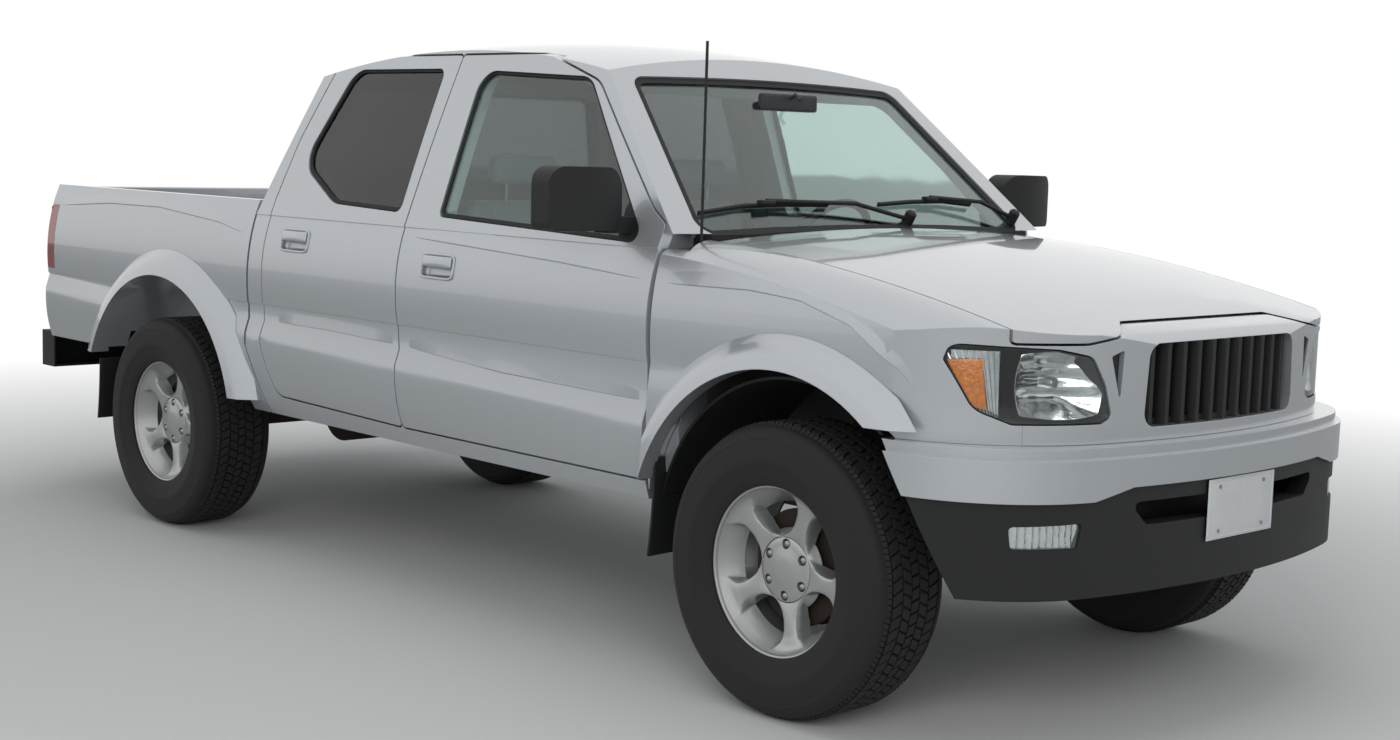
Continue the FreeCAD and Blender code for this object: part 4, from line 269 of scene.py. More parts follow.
def bent(piece, bend):
    """Carry each corner of a piece to where a function of its place says."""
    out_of_edit()
    outward = piece.matrix_world.copy()
    inward = outward.inverted()
    for corner in piece.data.vertices:
        corner.co = inward @ bend(outward @ corner.co)
    return piece


def drawn(name, corners, closed=True):
    """Draw a line from corner to corner by extruding one point, then fill it."""
    corners = [Vector(c) for c in corners]
    piece = started("plane", name, size=MM, location=corners[0])
    bpy.ops.mesh.merge(type="CENTER")
    for last, corner in zip(corners, corners[1:]):
        bpy.ops.mesh.extrude_region_move(TRANSFORM_OT_translate={"value": corner - last})
    all_of_it()
    if closed:
        bpy.ops.mesh.edge_face_add()
    return piece


def raised(piece, push):
    """Extrude all of a drawn face by a vector."""
    all_of_it()
    bpy.ops.mesh.extrude_region_move(TRANSFORM_OT_translate={"value": Vector(push)})
    all_of_it()
    bpy.ops.mesh.normals_make_consistent(inside=False)
    return piece


def block(name, low, high, edge, steps=2):
    """A box between two corners whose edges are rounded, left in edit mode."""
    low, high = Vector(low), Vector(high)
    piece = started("cube", name, size=1, location=(low + high) / 2)
    bpy.ops.transform.resize(value=[abs(v) for v in high - low])
    bpy.ops.mesh.bevel(offset=edge, segments=steps, affect="EDGES")
    all_of_it()
    return piece


def turned(name, profile, centre, axis, steps=48):
    """Spin a profile of (along axis, radius) points about an axis through a centre."""
    axis = Vector(axis)
    side = axis.orthogonal().normalized()
    piece = drawn(name, [Vector(centre) + axis * a + side * r for a, r in profile], closed=False)
    bpy.ops.mesh.spin(steps=steps, angle=TURN, center=centre, axis=axis)
    all_of_it()
    bpy.ops.mesh.remove_doubles(threshold=MM / 20)
    bpy.ops.mesh.normals_make_consistent(inside=False)
    return piece


def tube(name, path, radius, sides=3):
    """A round bar along a path of points."""
    curve = bpy.data.curves.new(name, "CURVE")
    curve.dimensions = "3D"
    curve.bevel_depth = radius
    curve.bevel_resolution = sides
    curve.use_fill_caps = True
    line = curve.splines.new("POLY")
    line.points.add(len(path) - 1)
    for point, place in zip(line.points, path):
        point.co = (*place, 1)
    piece = bpy.data.objects.new(name, curve)
    bpy.context.scene.collection.objects.link(piece)
    alone(piece)
    bpy.ops.object.convert(target="MESH")
    piece = bpy.context.object
    piece.name = name
    return piece


def copied(piece, name, matrix):
    """A copy with its own mesh, carried by a matrix."""
    copy = piece.copy()
    copy.data = piece.data.copy()
    copy.name = name
    copy.data.name = name
    for key in list(copy.keys()):
        if key.startswith("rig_"):
            del copy[key]
    copy.parent = None
    copy.hide_render = copy.hide_viewport = False
    copy.matrix_world = Matrix.Identity(4)
    copy.data.transform(matrix)
    if matrix.determinant() < 0:
        copy.data.flip_normals()
    bpy.context.scene.collection.objects.link(copy)
    return copy


def body_of(node_name):
    """The body that a CAD node belongs to."""
    return next(body for body, members in bodies.items() if node_name in members)


def merged(node_name, name):
    """A copy of a CAD node with its corners merged."""
    piece = copied(nodes[node_name], name, Matrix.Identity(4))
    alone(piece)
    if piece.data.has_custom_normals:
        bpy.ops.mesh.customdata_custom_splitnormals_clear()
    bpy.ops.object.mode_set(mode="EDIT")
    all_of_it()
    bpy.ops.mesh.remove_doubles(threshold=MM / 100)
    out_of_edit()
    return piece


def smoothed(node_name, material, slot):
    """A CAD node's panel, merged so that its curves shade smoothly."""
    piece = merged(node_name, node_name + "_panel")
    return finished(piece, material, body_of(node_name), slot, PANEL_ANGLE, [node_name])


def faces_of(node_name, name, keep):
    """The faces of a CAD node that pass a test."""
    piece = merged(node_name, name)
    choose(piece, "polygons", lambda face: not keep(face))
    bpy.ops.mesh.delete(type="FACE")
    out_of_edit()
    return piece


def struck(node_name, start, way, otherwise=None):
    """Where a ray first meets a CAD panel, and which way the panel faces there."""
    hit, place, normal, _ = panels[node_name].ray_cast(Vector(start), Vector(way))
    if hit:
        return place, normal
    if otherwise is None:
        raise ValueError("no face of %s lies on the ray from %s" % (node_name, start))
    return Vector(otherwise), -Vector(way)


def skin_point(node_name, x, z, side):
    """The point of a CAD panel that the side view shows at a place, and which way it faces."""
    return struck(node_name, (x, side * 3.0, z), (0, -side, 0))


# Panels taken over from the frame
PANELS = {
    "body_paint": (paint, ["cab_shell", "door_front_left", "door_front_right", "door_rear_left",
                           "door_rear_right", "hood", "fender_left", "fender_right", "grille_surround",
                           "front_bumper", "front_flares", "rear_flares", "cargo_bed", "tailgate"]),
    "black_plastic": (black_plastic, ["mirror_left", "mirror_right", "grille", "front_valance", "cowl",
                                      "front_liners", "rear_bumper"]),
    "clear_glass": (clear_glass, ["windshield", "door_glass_front_left", "door_glass_front_right"]),
    "dark_glass": (dark_glass, ["rear_window", "door_glass_rear_left", "door_glass_rear_right"]),
    "dark_iron": (dark_iron, ["knuckle_left", "knuckle_right", "front_arms", "rear_axle", "leaf_springs"]),
    "frame_steel": (frame_steel, ["ladder_frame", "fuel_tank"]),
    "pipe_steel": (pipe_steel, ["exhaust", "driveshaft"]),
    "grey_trim": (grey_trim, ["dashboard"]),
}
panels = {}
for slot_name, (material, names) in PANELS.items():
    for name in names:
        panels[name] = smoothed(name, material, slot_name)
panels["engine"] = smoothed("engine", dark_iron, "dark_iron")
panels["steering_wheel"] = smoothed("steering_wheel", dark_trim, "black_plastic")


# Wheels: tyre and rim are modelled once, for the front right wheel, and carried to the others
TREAD_PITCHES = 76
TREAD_DEPTH = 0.0075
TREAD_SHARE = 0.90
TREAD_ROWS = (
    (-1.0, -0.72, 0.00, 0.40, 0.22), (-1.0, -0.72, 0.50, 0.40, 0.22), (-0.67, -0.41, 0.20, 0.84, -0.40),
    (-0.37, -0.14, 0.60, 0.80, 0.45), (-0.10, 0.10, 0.10, 0.80, -0.30), (0.14, 0.37, 0.55, 0.80, 0.45),
    (0.41, 0.67, 0.05, 0.84, -0.40), (0.72, 1.0, 0.15, 0.40, 0.22), (0.72, 1.0, 0.65, 0.40, 0.22))
SPOKES = 5
SPOKE_PHASE = math.radians(66)
WHEEL_NUTS = 6


def between(points, value):
    """Height of a line through (place, height) points."""
    for (x0, y0), (x1, y1) in zip(points, points[1:]):
        if value <= x1:
            return y0 + (y1 - y0) * max(0.0, (value - x0) / (x1 - x0))
    return points[-1][1]


def eased(value):
    """Share of a smooth step from 0 to 1."""
    value = min(1.0, max(0.0, value))
    return value * value * (3 - 2 * value)


def joined(name, parts):
    """One piece made of several, each put in place first."""
    for part in parts:
        settled(part)
    alone(parts[0])
    for part in parts:
        part.select_set(True)
    bpy.ops.object.join()
    parts[0].name = name
    parts[0].data.name = name
    return parts[0]


def wheel_centre(wheel):
    """Centre, radius and half width of a wheel's tyre."""
    low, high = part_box("tyre_" + wheel)
    return (low + high) / 2, (high.z - low.z) / 2, (high.y - low.y) / 2


FIRST_CENTRE, TYRE_RADIUS, TYRE_HALF = wheel_centre("front_right")


def tyre_casing(name, centre, radius, half_width):
    """Bead, bulged sidewall with raised rings, shoulder and the floor of the tread."""
    half = [
        (0.76, 0.583), (0.84, 0.575), (0.90, 0.60), (0.945, 0.65), (0.985, 0.72), (0.992, 0.725),
        (1.0, 0.735), (1.0, 0.772), (0.992, 0.79), (0.985, 0.83), (0.965, 0.875), (0.958, 0.888),
        (0.962, 0.892), (0.950, 0.905), (0.925, 0.925), (0.895, 0.945), (0.85, 0.962), (0.78, 0.972),
        (0.40, 0.976)]
    profile = [(-w * half_width, r * radius) for w, r in half]
    profile += [(w * half_width, r * radius) for w, r in reversed(half)]
    return turned(name, profile, centre, LEFT, steps=120)


def tread_pitch(name, centre, radius, half_width):
    """One pitch of an all-terrain tread: close shoulder bars and staggered middle blocks."""
    pitch = TURN * radius / TREAD_PITCHES
    floor = radius - TREAD_DEPTH - 0.004
    parts = []
    for start, end, shift, length, lean in TREAD_ROWS:
        low = Vector((centre.x + (shift - 0.5) * pitch, centre.y + start * half_width, centre.z + floor))
        high = Vector((low.x + length * pitch, centre.y + end * half_width, centre.z + radius))
        part = block(name + "_block", low, high, 0.0009, 1)
        middle = (low.y + high.y) / 2

        def wrap(place):
            place.x += lean * (place.y - middle)
            edge = abs(place.y - centre.y) / half_width
            reach = place.x - centre.x
            drop = 0.0 if edge < 0.66 else 0.10 * radius * ((edge - 0.66) / 0.34) ** 2.0
            place.z -= drop + (radius - math.sqrt(radius ** 2 - reach ** 2))
            return place
        parts.append(bent(part, wrap))
    return joined(name, parts)


def ringed(piece, centre, count):
    """A piece and its copies, spaced evenly about the axle."""
    ring = [piece]
    for index in range(1, count):
        turn = Matrix.Translation(centre) @ Matrix.Rotation(TURN * index / count, 4, "Y")
        ring.append(copied(piece, "%s_%d" % (piece.name, index), turn @ Matrix.Translation(-centre)))
    return ring


def make_tyre():
    """The first wheel's tyre: casing and a ring of tread pitches."""
    pitch = tread_pitch("tread", FIRST_CENTRE, TYRE_RADIUS, TYRE_HALF * TREAD_SHARE)
    casing = tyre_casing("tyre_casing", FIRST_CENTRE, TYRE_RADIUS, TYRE_HALF)
    out_of_edit()
    return joined("tyre", [casing] + ringed(pitch, FIRST_CENTRE, TREAD_PITCHES))


# Rim, in millimetres: (radius, value) lines of the spokes' tops, their half widths and the dish between
FACE_INNER, FACE_OUTER = 84, 209
SPOKE_TOP = ((84, 61.0), (100, 64), (130, 68), (165, 73), (190, 79), (200, 85), (209, 97))
SPOKE_HALF = ((84, 51.5), (92, 42), (104, 33), (125, 27.5), (150, 27), (168, 31), (182, 39), (194, 51),
              (209, 62))
DISH = ((84, 61.0), (90, 56), (98, 44), (106, 34), (140, 26), (172, 34), (180, 50), (192, 70), (200, 82),
        (209, 97))
HOLE = (104, 173)
FILLET = 5
# Profiles turned about an axis: (along it, radius)
RIM_BARREL = ((96, 209), (101, 209.6), (104.5, 212), (105.8, 215.5), (104.8, 218.6), (100, 218.9),
              (-95, 218.9), (-98, 217), (-98, 212), (-94, 209.5), (-60, 206), (60, 206), (96, 209))
CAP = ((36, 0), (36, 83.5), (58, 83.5), (61, 82), (62.5, 79), (63.5, 66), (66, 50), (69, 36),
       (70.5, 22), (71, 0))
NUT = ((-4, 0), (-4, 10.5), (9, 10.5), (12, 9), (15, 6), (16.5, 3), (17, 0))
NUT_BORE = ((48, 0), (48, 12.5), (90, 14.5), (90, 0))
NUT_CIRCLE = 0.0665
NUT_SEAT = 0.048
RIM_WALL = 0.008


def scaled(points):
    """Points in millimetres brought to metres."""
    return [(a * MM, b * MM) for a, b in points]


def rim_sector(name, centre, out):
    """A fifth of the rim's face: half a hole, a spoke with filleted flanks, half a hole."""
    sector = started("grid", name, x_subdivisions=32, y_subdivisions=30, size=1)
    out_of_edit()
    spread = math.pi / SPOKES
    for corner in sector.data.vertices:
        across = corner.co.x * 2
        radius = FACE_INNER + (corner.co.y + 0.5) * (FACE_OUTER - FACE_INNER)
        half = between(SPOKE_HALF, radius) / radius
        share = abs(across)
        if share < 0.4:
            turn = share / 0.4 * (half - FILLET / radius)
        elif share < 0.7:
            turn = half + (share - 0.4) / 0.3 * 2 * FILLET / radius - FILLET / radius
        else:
            foot = half + FILLET / radius
            turn = foot + (share - 0.7) / 0.3 * max(0.0, spread - foot)
        turn = min(turn, spread) if share < 1 else spread
        crown = 2.5 * math.sin(math.pi * (radius - FACE_INNER) / (FACE_OUTER - FACE_INNER))
        top = between(SPOKE_TOP, radius) + crown * (1 - (min(share, 0.4) / 0.4) ** 2)
        floor = min(between(DISH, radius), top)
        height = top + (floor - top) * eased((share - 0.34) / 0.38)
        corner.co = (math.copysign(turn, across), radius, height)

    def in_hole(face):
        places = [sector.data.vertices[index].co for index in face.vertices]
        past = max(abs(at.x) * at.y - between(SPOKE_HALF, at.y) for at in places)
        return HOLE[0] < face.center.y < HOLE[1] and past > FILLET * 1.3
    choose(sector, "polygons", in_hole)
    bpy.ops.mesh.delete(type="FACE")
    out_of_edit()
    for corner in sector.data.vertices:
        turn, radius, height = corner.co
        turn += SPOKE_PHASE
        corner.co = centre + Vector((math.cos(turn) * radius, out * height, math.sin(turn) * radius)) * MM
    return sector


def make_rim():
    """The first wheel's rim and its nuts, seen from the truck's right."""
    centre, out = FIRST_CENTRE, -LEFT
    sector = rim_sector("rim_face", centre, out.y)
    face = joined("rim_face", ringed(sector, centre, SPOKES))
    bpy.ops.object.mode_set(mode="EDIT")
    all_of_it()
    bpy.ops.mesh.remove_doubles(threshold=MM / 5)
    bpy.ops.mesh.normals_make_consistent(inside=False)
    out_of_edit()
    if face.data.polygons[0].normal.dot(out) < 0:
        face.data.flip_normals()
    modified(face, "SOLIDIFY", thickness=RIM_WALL, offset=-1.0)
    barrel = turned("rim_barrel", scaled(RIM_BARREL), centre, out, steps=96)
    cap = turned("hub_cap", scaled(CAP), centre, out, steps=72)
    out_of_edit()
    bores, nuts = [], []
    for count in range(WHEEL_NUTS):
        turn = TURN * (count + 0.5) / WHEEL_NUTS
        spot = centre + Vector((math.cos(turn), 0, math.sin(turn))) * NUT_CIRCLE
        bores.append(turned("bore", scaled(NUT_BORE), spot, out, steps=32))
        nuts.append(turned("nut", scaled(NUT), spot + out * NUT_SEAT, out, steps=12))
    cutter = joined("bores", bores)
    modified(cap, "BOOLEAN", object=cutter, operation="DIFFERENCE", solver="EXACT")
    bpy.data.objects.remove(cutter)
    return joined("rim", [face, barrel, cap]), joined("nuts", nuts)


def carried(piece, wheel, name, material, slot, replaces=()):
    """Carry a piece of the first wheel to another, mirrored for the left side."""
    way = Matrix.Translation(wheel_centre(wheel)[0])
    if "left" in wheel:
        way = way @ MIRRORED
    copy = copied(piece, name + wheel, way @ Matrix.Translation(-FIRST_CENTRE))
    return finished(copy, material, "wheel_" + SHORT[wheel], slot, replaces=replaces)


first_tyre = make_tyre()
first_rim, first_nuts = make_rim()
for wheel in WHEELS:
    carried(first_tyre, wheel, "tread_", tyre_rubber, "tyre", ["tyre_" + wheel])
    carried(first_rim, wheel, "cast_rim_", alloy, "alloy", ["rim_" + wheel])
    carried(first_nuts, wheel, "wheel_nuts_", bright_steel, "alloy")
for piece in (first_tyre, first_rim, first_nuts):
    bpy.data.objects.remove(piece)


# Rubber round each window, drawn from the pane's own outline
def window_rubber(node_name, width, way):
    """The pane's outer face, inset to a ring, and that ring given the rubber's thickness."""
    outward = Vector(way)
    piece = faces_of(node_name, node_name + "_rubber", lambda face: face.normal.dot(outward) >= RUBBER_FACES)
    bpy.ops.object.mode_set(mode="EDIT")
    all_of_it()
    bpy.ops.mesh.dissolve_limited(angle_limit=math.radians(1.0))
    all_of_it()
    bpy.ops.mesh.inset(thickness=width, depth=0)
    bpy.ops.mesh.delete(type="FACE")
    modified(piece, "SOLIDIFY", thickness=RUBBER_LIFT, offset=1.0)
    return finished(piece, seal_rubber, body_of(node_name), "black_plastic", angle=50)


RUBBER_LIFT = 0.006
RUBBER_FACES = 0.75
for side_name, way in SIDES.items():
    for place in ("front", "rear"):
        window_rubber("door_glass_%s_%s" % (place, side_name), 0.012, (0, way, 0))
window_rubber("windshield", 0.022, (0.6, 0, 0.6))
window_rubber("rear_window", 0.022, (-1, 0, 0))


# Lamps: clear lens over a dark housing, with bright bowls behind
LAMP_AXIS = Vector((1.9133, 0.371))
LAMP_REACH = 0.480


def on_lamp_front(face):
    """Whether a face lies on the curved front of a headlamp."""
    away = Vector((face.center.x, abs(face.center.y))) - LAMP_AXIS
    return abs(away.length - LAMP_REACH) < 0.004


def lamp_front(across, setback):
    """Where the headlamp's front runs, this far from the middle and this far behind it."""
    return LAMP_AXIS.x + math.sqrt((LAMP_REACH - setback) ** 2 - (across - LAMP_AXIS.y) ** 2)


def patch(name, columns, rows, place):
    """A skin of a grid's corners, each carried to where a function of its two shares says."""
    piece = started("grid", name, x_subdivisions=columns, y_subdivisions=rows, size=1)
    out_of_edit()
    for corner in piece.data.vertices:
        corner.co = place(corner.co.x * 2, corner.co.y * 2)
    return piece


def facing(piece, way):
    """Turn a skin's faces to look one way."""
    if sum(face.normal.dot(Vector(way)) * face.area for face in piece.data.polygons) < 0:
        piece.data.flip_normals()
    return piece


def reflector(name, side, low, high, bottom, top, depth):
    """A pressed bowl with a band of steps across it, open to the lens."""
    middle, half = (low + high) / 2, (high - low) / 2
    level, rise = (bottom + top) / 2, (top - bottom) / 2

    def place(p, q):
        fall = max(abs(p), abs(q)) ** 2.4
        across = middle + p * half * (1 - 0.10 * q * q)
        step = 0.006 * math.sin(q * 3.5 * math.pi) if abs(q) < 0.55 else 0.0
        x = lamp_front(across, BOWL_SETBACK) - (1 - fall) * (depth + step)
        return Vector((x, side * across, level + q * rise * (1 - 0.14 * p * p)))
    return facing(patch(name, 40, 40, place), FORWARD)


def corner_lamp(name, side, corners, setback, ribs, bulge):
    """A four-cornered patch behind the lens: (distance from the middle, height) of its corners."""
    def place(p, q):
        s, t = (p + 1) / 2, (q + 1) / 2
        low = corners[0].lerp(corners[1], s)
        high = corners[3].lerp(corners[2], s)
        at = low.lerp(high, t)
        wave = 0.004 * abs(math.sin(s * ribs * math.pi)) if ribs else 0.0
        rise = bulge * (1 - p ** 4) * (1 - q ** 4)
        return Vector((lamp_front(at.x, setback) + rise + wave, side * at.x, at.y))
    return facing(patch(name, 72, 18, place), FORWARD)


def on_fog_front(face):
    """Whether a face lies on the front of a fog lamp."""
    return face.normal.x > 0.5


def lens_of(node_name, name, on_front):
    """The front of a lamp's CAD node as a clear lens."""
    lens = faces_of(node_name, name, on_front)
    walled(lens, LENS_WALL, lamp_lens, "lamp_glass", replaces=[node_name])


def housing_of(node_name, name, on_front):
    """All but the front of a lamp's CAD node as a dark housing."""
    housing = faces_of(node_name, name, lambda face: not on_front(face))
    walled(housing, HOUSING_WALL, dark_trim, "black_plastic")


LENS_WALL, HOUSING_WALL, BOWL_WALL = 0.003, 0.002, 0.0015
BOWL_SETBACK = 0.013
FOG_SETBACK, FOG_RIPPLE = 0.006, 0.006
BULB = ((-20, 0), (-20, 15), (14, 15), (20, 12), (21, 0))
AMBER = [Vector(c) for c in ((0.744, 0.845), (0.716, 0.836), (0.726, 0.956), (0.774, 0.952))]
TURN_BOWL = [Vector(c) for c in ((0.728, 0.816), (0.692, 0.816), (0.692, 0.974), (0.778, 0.974))]
lens_of("headlamps", "headlamp_lenses", on_lamp_front)
housing_of("headlamps", "headlamp_housings", on_lamp_front)
for side_name, way in SIDES.items():
    bowl = reflector("headlamp_bowl_" + side_name, way, 0.462, 0.668, 0.815, 0.978, 0.075)
    walled(bowl, BOWL_WALL, chrome, "lamp_glass", angle=60)
    bulb = turned("bulb_shield_" + side_name, scaled(BULB),
                  (lamp_front(0.565, 0.05), way * 0.575, 0.90), FORWARD, steps=32)
    finished(bulb, bright_steel, "truck", "lamp_glass")
    backing = corner_lamp("turn_lamp_bowl_" + side_name, way, TURN_BOWL, 0.018, 9, 0.0)
    walled(backing, BOWL_WALL, chrome, "lamp_glass", angle=25)
    amber = corner_lamp("turn_lamp_amber_" + side_name, way, AMBER, 0.011, 0, 0.004)
    walled(amber, 0.002, amber_lens, "lamp_glass", angle=50)
lens_of("fog_lamps", "fog_lamp_lenses", on_fog_front)
fog_bowls = faces_of("fog_lamps", "fog_lamp_bowls", on_fog_front)
modified(fog_bowls, "SUBSURF", subdivision_type="SIMPLE", levels=2, render_levels=2)
for corner in fog_bowls.data.vertices:
    corner.co.x -= FOG_SETBACK + FOG_RIPPLE * abs(math.sin(corner.co.y * 210))
walled(fog_bowls, BOWL_WALL, chrome, "lamp_glass", angle=25)
housing_of("fog_lamps", "fog_lamp_housings", on_fog_front)
panels["tail_lamps"] = smoothed("tail_lamps", red_lens, "red_lens")


# Lines pressed into the sides: a sharp edge whose upper face runs out into the panel
def swage(name, node_name, line, side):
    """A raised edge along a line of (x, z) on a panel's side, level with the skin above and below."""
    section = ((SWAGE_RISE, -SUNK), (SWAGE_RISE * 0.5, SWAGE_DEPTH * 0.35),
               (0.0, SWAGE_DEPTH), (-0.0025, -SUNK))
    rows = []
    for index in range(SWAGE_STEPS + 1):
        share = index / SWAGE_STEPS
        x = line[0][0] + (line[-1][0] - line[0][0]) * share
        z = between(line, x)
        fade = min(1.0, 8 * share, 8 * (1 - share))
        ring = []
        for up, out in section:
            place, normal = skin_point(node_name, x, z + up, side)
            ring.append(place + normal * (out * fade if out > 0 else out))
        rows.append(ring)

    def place(p, q):
        return rows[round((p + 1) / 2 * SWAGE_STEPS)][round((q + 1) / 2 * 3)]
    piece = facing(patch(name, SWAGE_STEPS, 3, place), (0, side, 0))
    walled(piece, 0.0006, paint, "body_paint", angle=20, body=body_of(node_name))


# Small fittings in a local frame: along the panel, up it and out of it
def framed(place, normal, along):
    """Matrix from (along, up, out) to the truck's frame, standing on a panel's point."""
    out = normal.normalized()
    length = (along - out * along.dot(out)).normalized()
    rise = out.cross(length)
    if rise.z < 0:
        rise = -rise
    turn = Matrix((length, rise, out)).transposed().to_4x4()
    return Matrix.Translation(place) @ turn


def put_on(piece, matrix):
    """Carry a piece modelled at the origin to its place."""
    settled(piece)
    piece.data.transform(matrix)
    if matrix.determinant() < 0:
        piece.data.flip_normals()
    return piece


def rounded_ring(name, half_width, half_height, bar, lift, square=0.3):
    """A bar bent to a rounded rectangle, from a torus whose corners are moved out."""
    ring = started("torus", name, major_segments=64, minor_segments=10, major_radius=1.0, minor_radius=0.25)
    out_of_edit()
    for corner in ring.data.vertices:
        turn = math.atan2(corner.co.y, corner.co.x)
        beside = (math.hypot(corner.co.x, corner.co.y) - 1.0) * 4 * bar
        c, s = math.cos(turn), math.sin(turn)
        x = math.copysign(abs(c) ** square, c) * half_width
        y = math.copysign(abs(s) ** square, s) * half_height
        corner.co = (x + c * beside, y + s * beside, corner.co.z * 4 * bar * 0.8 + lift)
    return ring


def crowned(name, size, edge, crown):
    """A rounded slab at the origin whose outer face swells towards its middle."""
    width, height, thick = size
    slab = block(name, (-width / 2, -height / 2, 0), (width / 2, height / 2, thick), edge, 3)
    bpy.ops.mesh.subdivide(number_cuts=3)

    def swell(place):
        if place.z > thick / 2:
            place.z += crown * (1 - (2 * place.x / width) ** 2) * (1 - (2 * place.y / height) ** 2)
        return place
    return bent(slab, swell)


def cut_from(piece, cutter):
    """Cut one closed piece out of another."""
    modified(piece, "BOOLEAN", object=cutter, operation="DIFFERENCE", solver="EXACT")
    bpy.ops.object.shade_smooth_by_angle(angle=math.radians(PANEL_ANGLE))
    bpy.data.objects.remove(cutter)


def pull_handle(panel, spot, hole, ring, flap, lift, material, slot):
    """A pull-up flap over a finger recess cut in a panel, inside a raised frame."""
    half, edge = Vector(hole[:3]), hole[3]
    recess = block("hole", (-half.x, -half.y, -half.z), (half.x, half.y, 0.02), edge, 3)
    cut_from(panels[panel], put_on(recess, spot))
    rim = rounded_ring(panel + "_handle_frame", *ring)
    finished(put_on(rim, spot), material, body_of(panel), slot)
    cover = crowned(panel + "_handle_flap", flap, 0.004, 0.003)
    lifted = spot @ Matrix.Translation((0, lift, -0.006))
    finished(put_on(cover, lifted), material, body_of(panel), slot)


def door_handle(door, x, z, side):
    """A door's handle, in the door's own paint."""
    pull_handle(door, framed(*skin_point(door, x, z, side), FORWARD), (0.074, 0.031, 0.020, 0.011),
                (0.080, 0.036, 0.0045, 0.001), (0.142, 0.034, 0.014), 0.014, paint, "body_paint")


for side_name, way in SIDES.items():
    door_handle("door_front_" + side_name, 0.228, 1.042, way)
    door_handle("door_rear_" + side_name, -0.575, 1.075, way)


# Lines of the front door, fender, rear door and bed, as (x, z)
SWAGE_RISE, SWAGE_DEPTH, SUNK = 0.045, 0.0042, 0.0008
SWAGE_STEPS = 40
LINES = {
    "door_front_": (((0.07, 1.123), (0.319, 1.112), (0.792, 1.091), (1.14, 1.069)),
                    ((0.09, 0.785), (0.543, 0.756), (1.15, 0.745))),
    "fender_": (((1.24, 1.064), (1.551, 1.069), (1.727, 1.057), (1.902, 1.011), (2.059, 0.919),
                 (2.10, 0.87)),),
    "door_rear_": (((-0.66, 0.799), (-0.351, 0.799), (0.0, 0.789)),),
}
BED_LINE = ((-2.29, 1.119), (-1.9, 1.143), (-1.516, 1.145), (-1.072, 1.112), (-0.90, 1.083))
for side_name, way in SIDES.items():
    for panel, lines in LINES.items():
        for index, line in enumerate(lines):
            swage("%s%s_line_%d" % (panel, side_name, index), panel + side_name, line, way)
    swage("bed_line_" + side_name, "cargo_bed", BED_LINE, way)


# Wipers: a rubber blade in a sprung frame, on an arm from a capped spindle
def wiper(name, blade, arm):
    """Blade and arm along their paths, lifted off the windshield."""
    lift = Vector((0.5, 0, 0.86))
    blade = [Vector(p) * MM + lift * 0.011 for p in blade]
    arm = [Vector(p) * MM + lift * h for p, h in zip(arm, (0.020, 0.030, 0.024))]
    parts = [tube("rubber", [p - lift * 0.006 for p in blade], 0.0035),
             tube("frame", blade, 0.0055), tube("arm", arm, 0.0065)]
    spindle = turned("spindle", scaled(SPINDLE), arm[0], lift.normalized(), steps=24)
    clip = block("clip", arm[-1] - Vector((0.012, 0.028, 0.012)), arm[-1] + Vector((0.012, 0.028, 0.002)),
                 0.004)
    out_of_edit()
    trimmed(joined(name, parts + [spindle, clip]))


SPINDLE = ((-20, 0), (-20, 17), (20, 17), (27, 11), (28, 0))
wiper("wiper_right", ((1171, -656, 1237), (1164, -487, 1256), (1168, -320, 1261), (1176, -150, 1260)),
      ((1222, 151, 1212), (1192, -60, 1248), (1168, -400, 1259)))
wiper("wiper_left", ((1173, 74, 1262), (1163, 230, 1270), (1156, 392, 1272), (1160, 520, 1262)),
      ((1208, 668, 1214), (1176, 540, 1254), (1158, 320, 1272)))


# Front plate: blank, with a pressed rim and four bolts
BOLT = ((0, 0), (0, 6), (3, 5), (3.5, 0))
spot = framed(Vector((2.4785, 0.005, 0.577)), FORWARD, LEFT)
sheet = crowned("front_plate", (0.302, 0.152, 0.0012), 0.0004, 0.0)
finished(put_on(sheet, spot), blank_white, "truck")
rim = rounded_ring("front_plate_rim", 0.145, 0.070, 0.0022, 0.001, 0.12)
finished(put_on(rim, spot), blank_white, "truck")
bolts = [turned("bolt", scaled(BOLT), (x, y, 0.0008), UP, steps=6)
         for x in (-0.10, 0.10) for y in (-0.055, 0.055)]
finished(put_on(joined("front_plate_bolts", bolts), spot), bright_steel, "truck")


# Flaps of rubber behind the wheels
def mudflap(name, x, inner, outer, top, bottom, side):
    """A flap that hangs back a little and bows across."""
    flap = block(name, (x - 0.004, side * inner, bottom), (x + 0.004, side * outer, top), 0.002, 2)
    bpy.ops.mesh.subdivide(number_cuts=8)

    def hang(place):
        down = (top - place.z) / (top - bottom)
        place.x -= 0.018 * down ** 2 + 0.006 * math.sin((abs(place.y) - inner) / (outer - inner) * math.pi)
        return place
    trimmed(bent(flap, hang), seal_rubber)


for side_name, way in SIDES.items():
    mudflap("rear_mudflap_" + side_name, -1.862, 0.628, 0.868, 0.56, 0.33, way)
    mudflap("front_mudflap_" + side_name, 1.236, 0.640, 0.846, 0.60, 0.33, way)


# What shows through the rims and the valance's opening: brake rotors and a beam
ROTOR = ((0, 62), (10, 62), (12, 80), (12, 148), (10, 150), (2, 150), (0, 148), (0, 62))
rotor = settled(turned("rotor", scaled(ROTOR), FIRST_CENTRE, -LEFT, steps=72))
for wheel in WHEELS:
    carried(rotor, wheel, "brake_rotor_", dark_iron, "dark_iron")
bpy.data.objects.remove(rotor)
beam = block("bumper_beam", (2.285, -0.56, 0.48), (2.335, 0.56, 0.655), 0.008)
trimmed(beam)


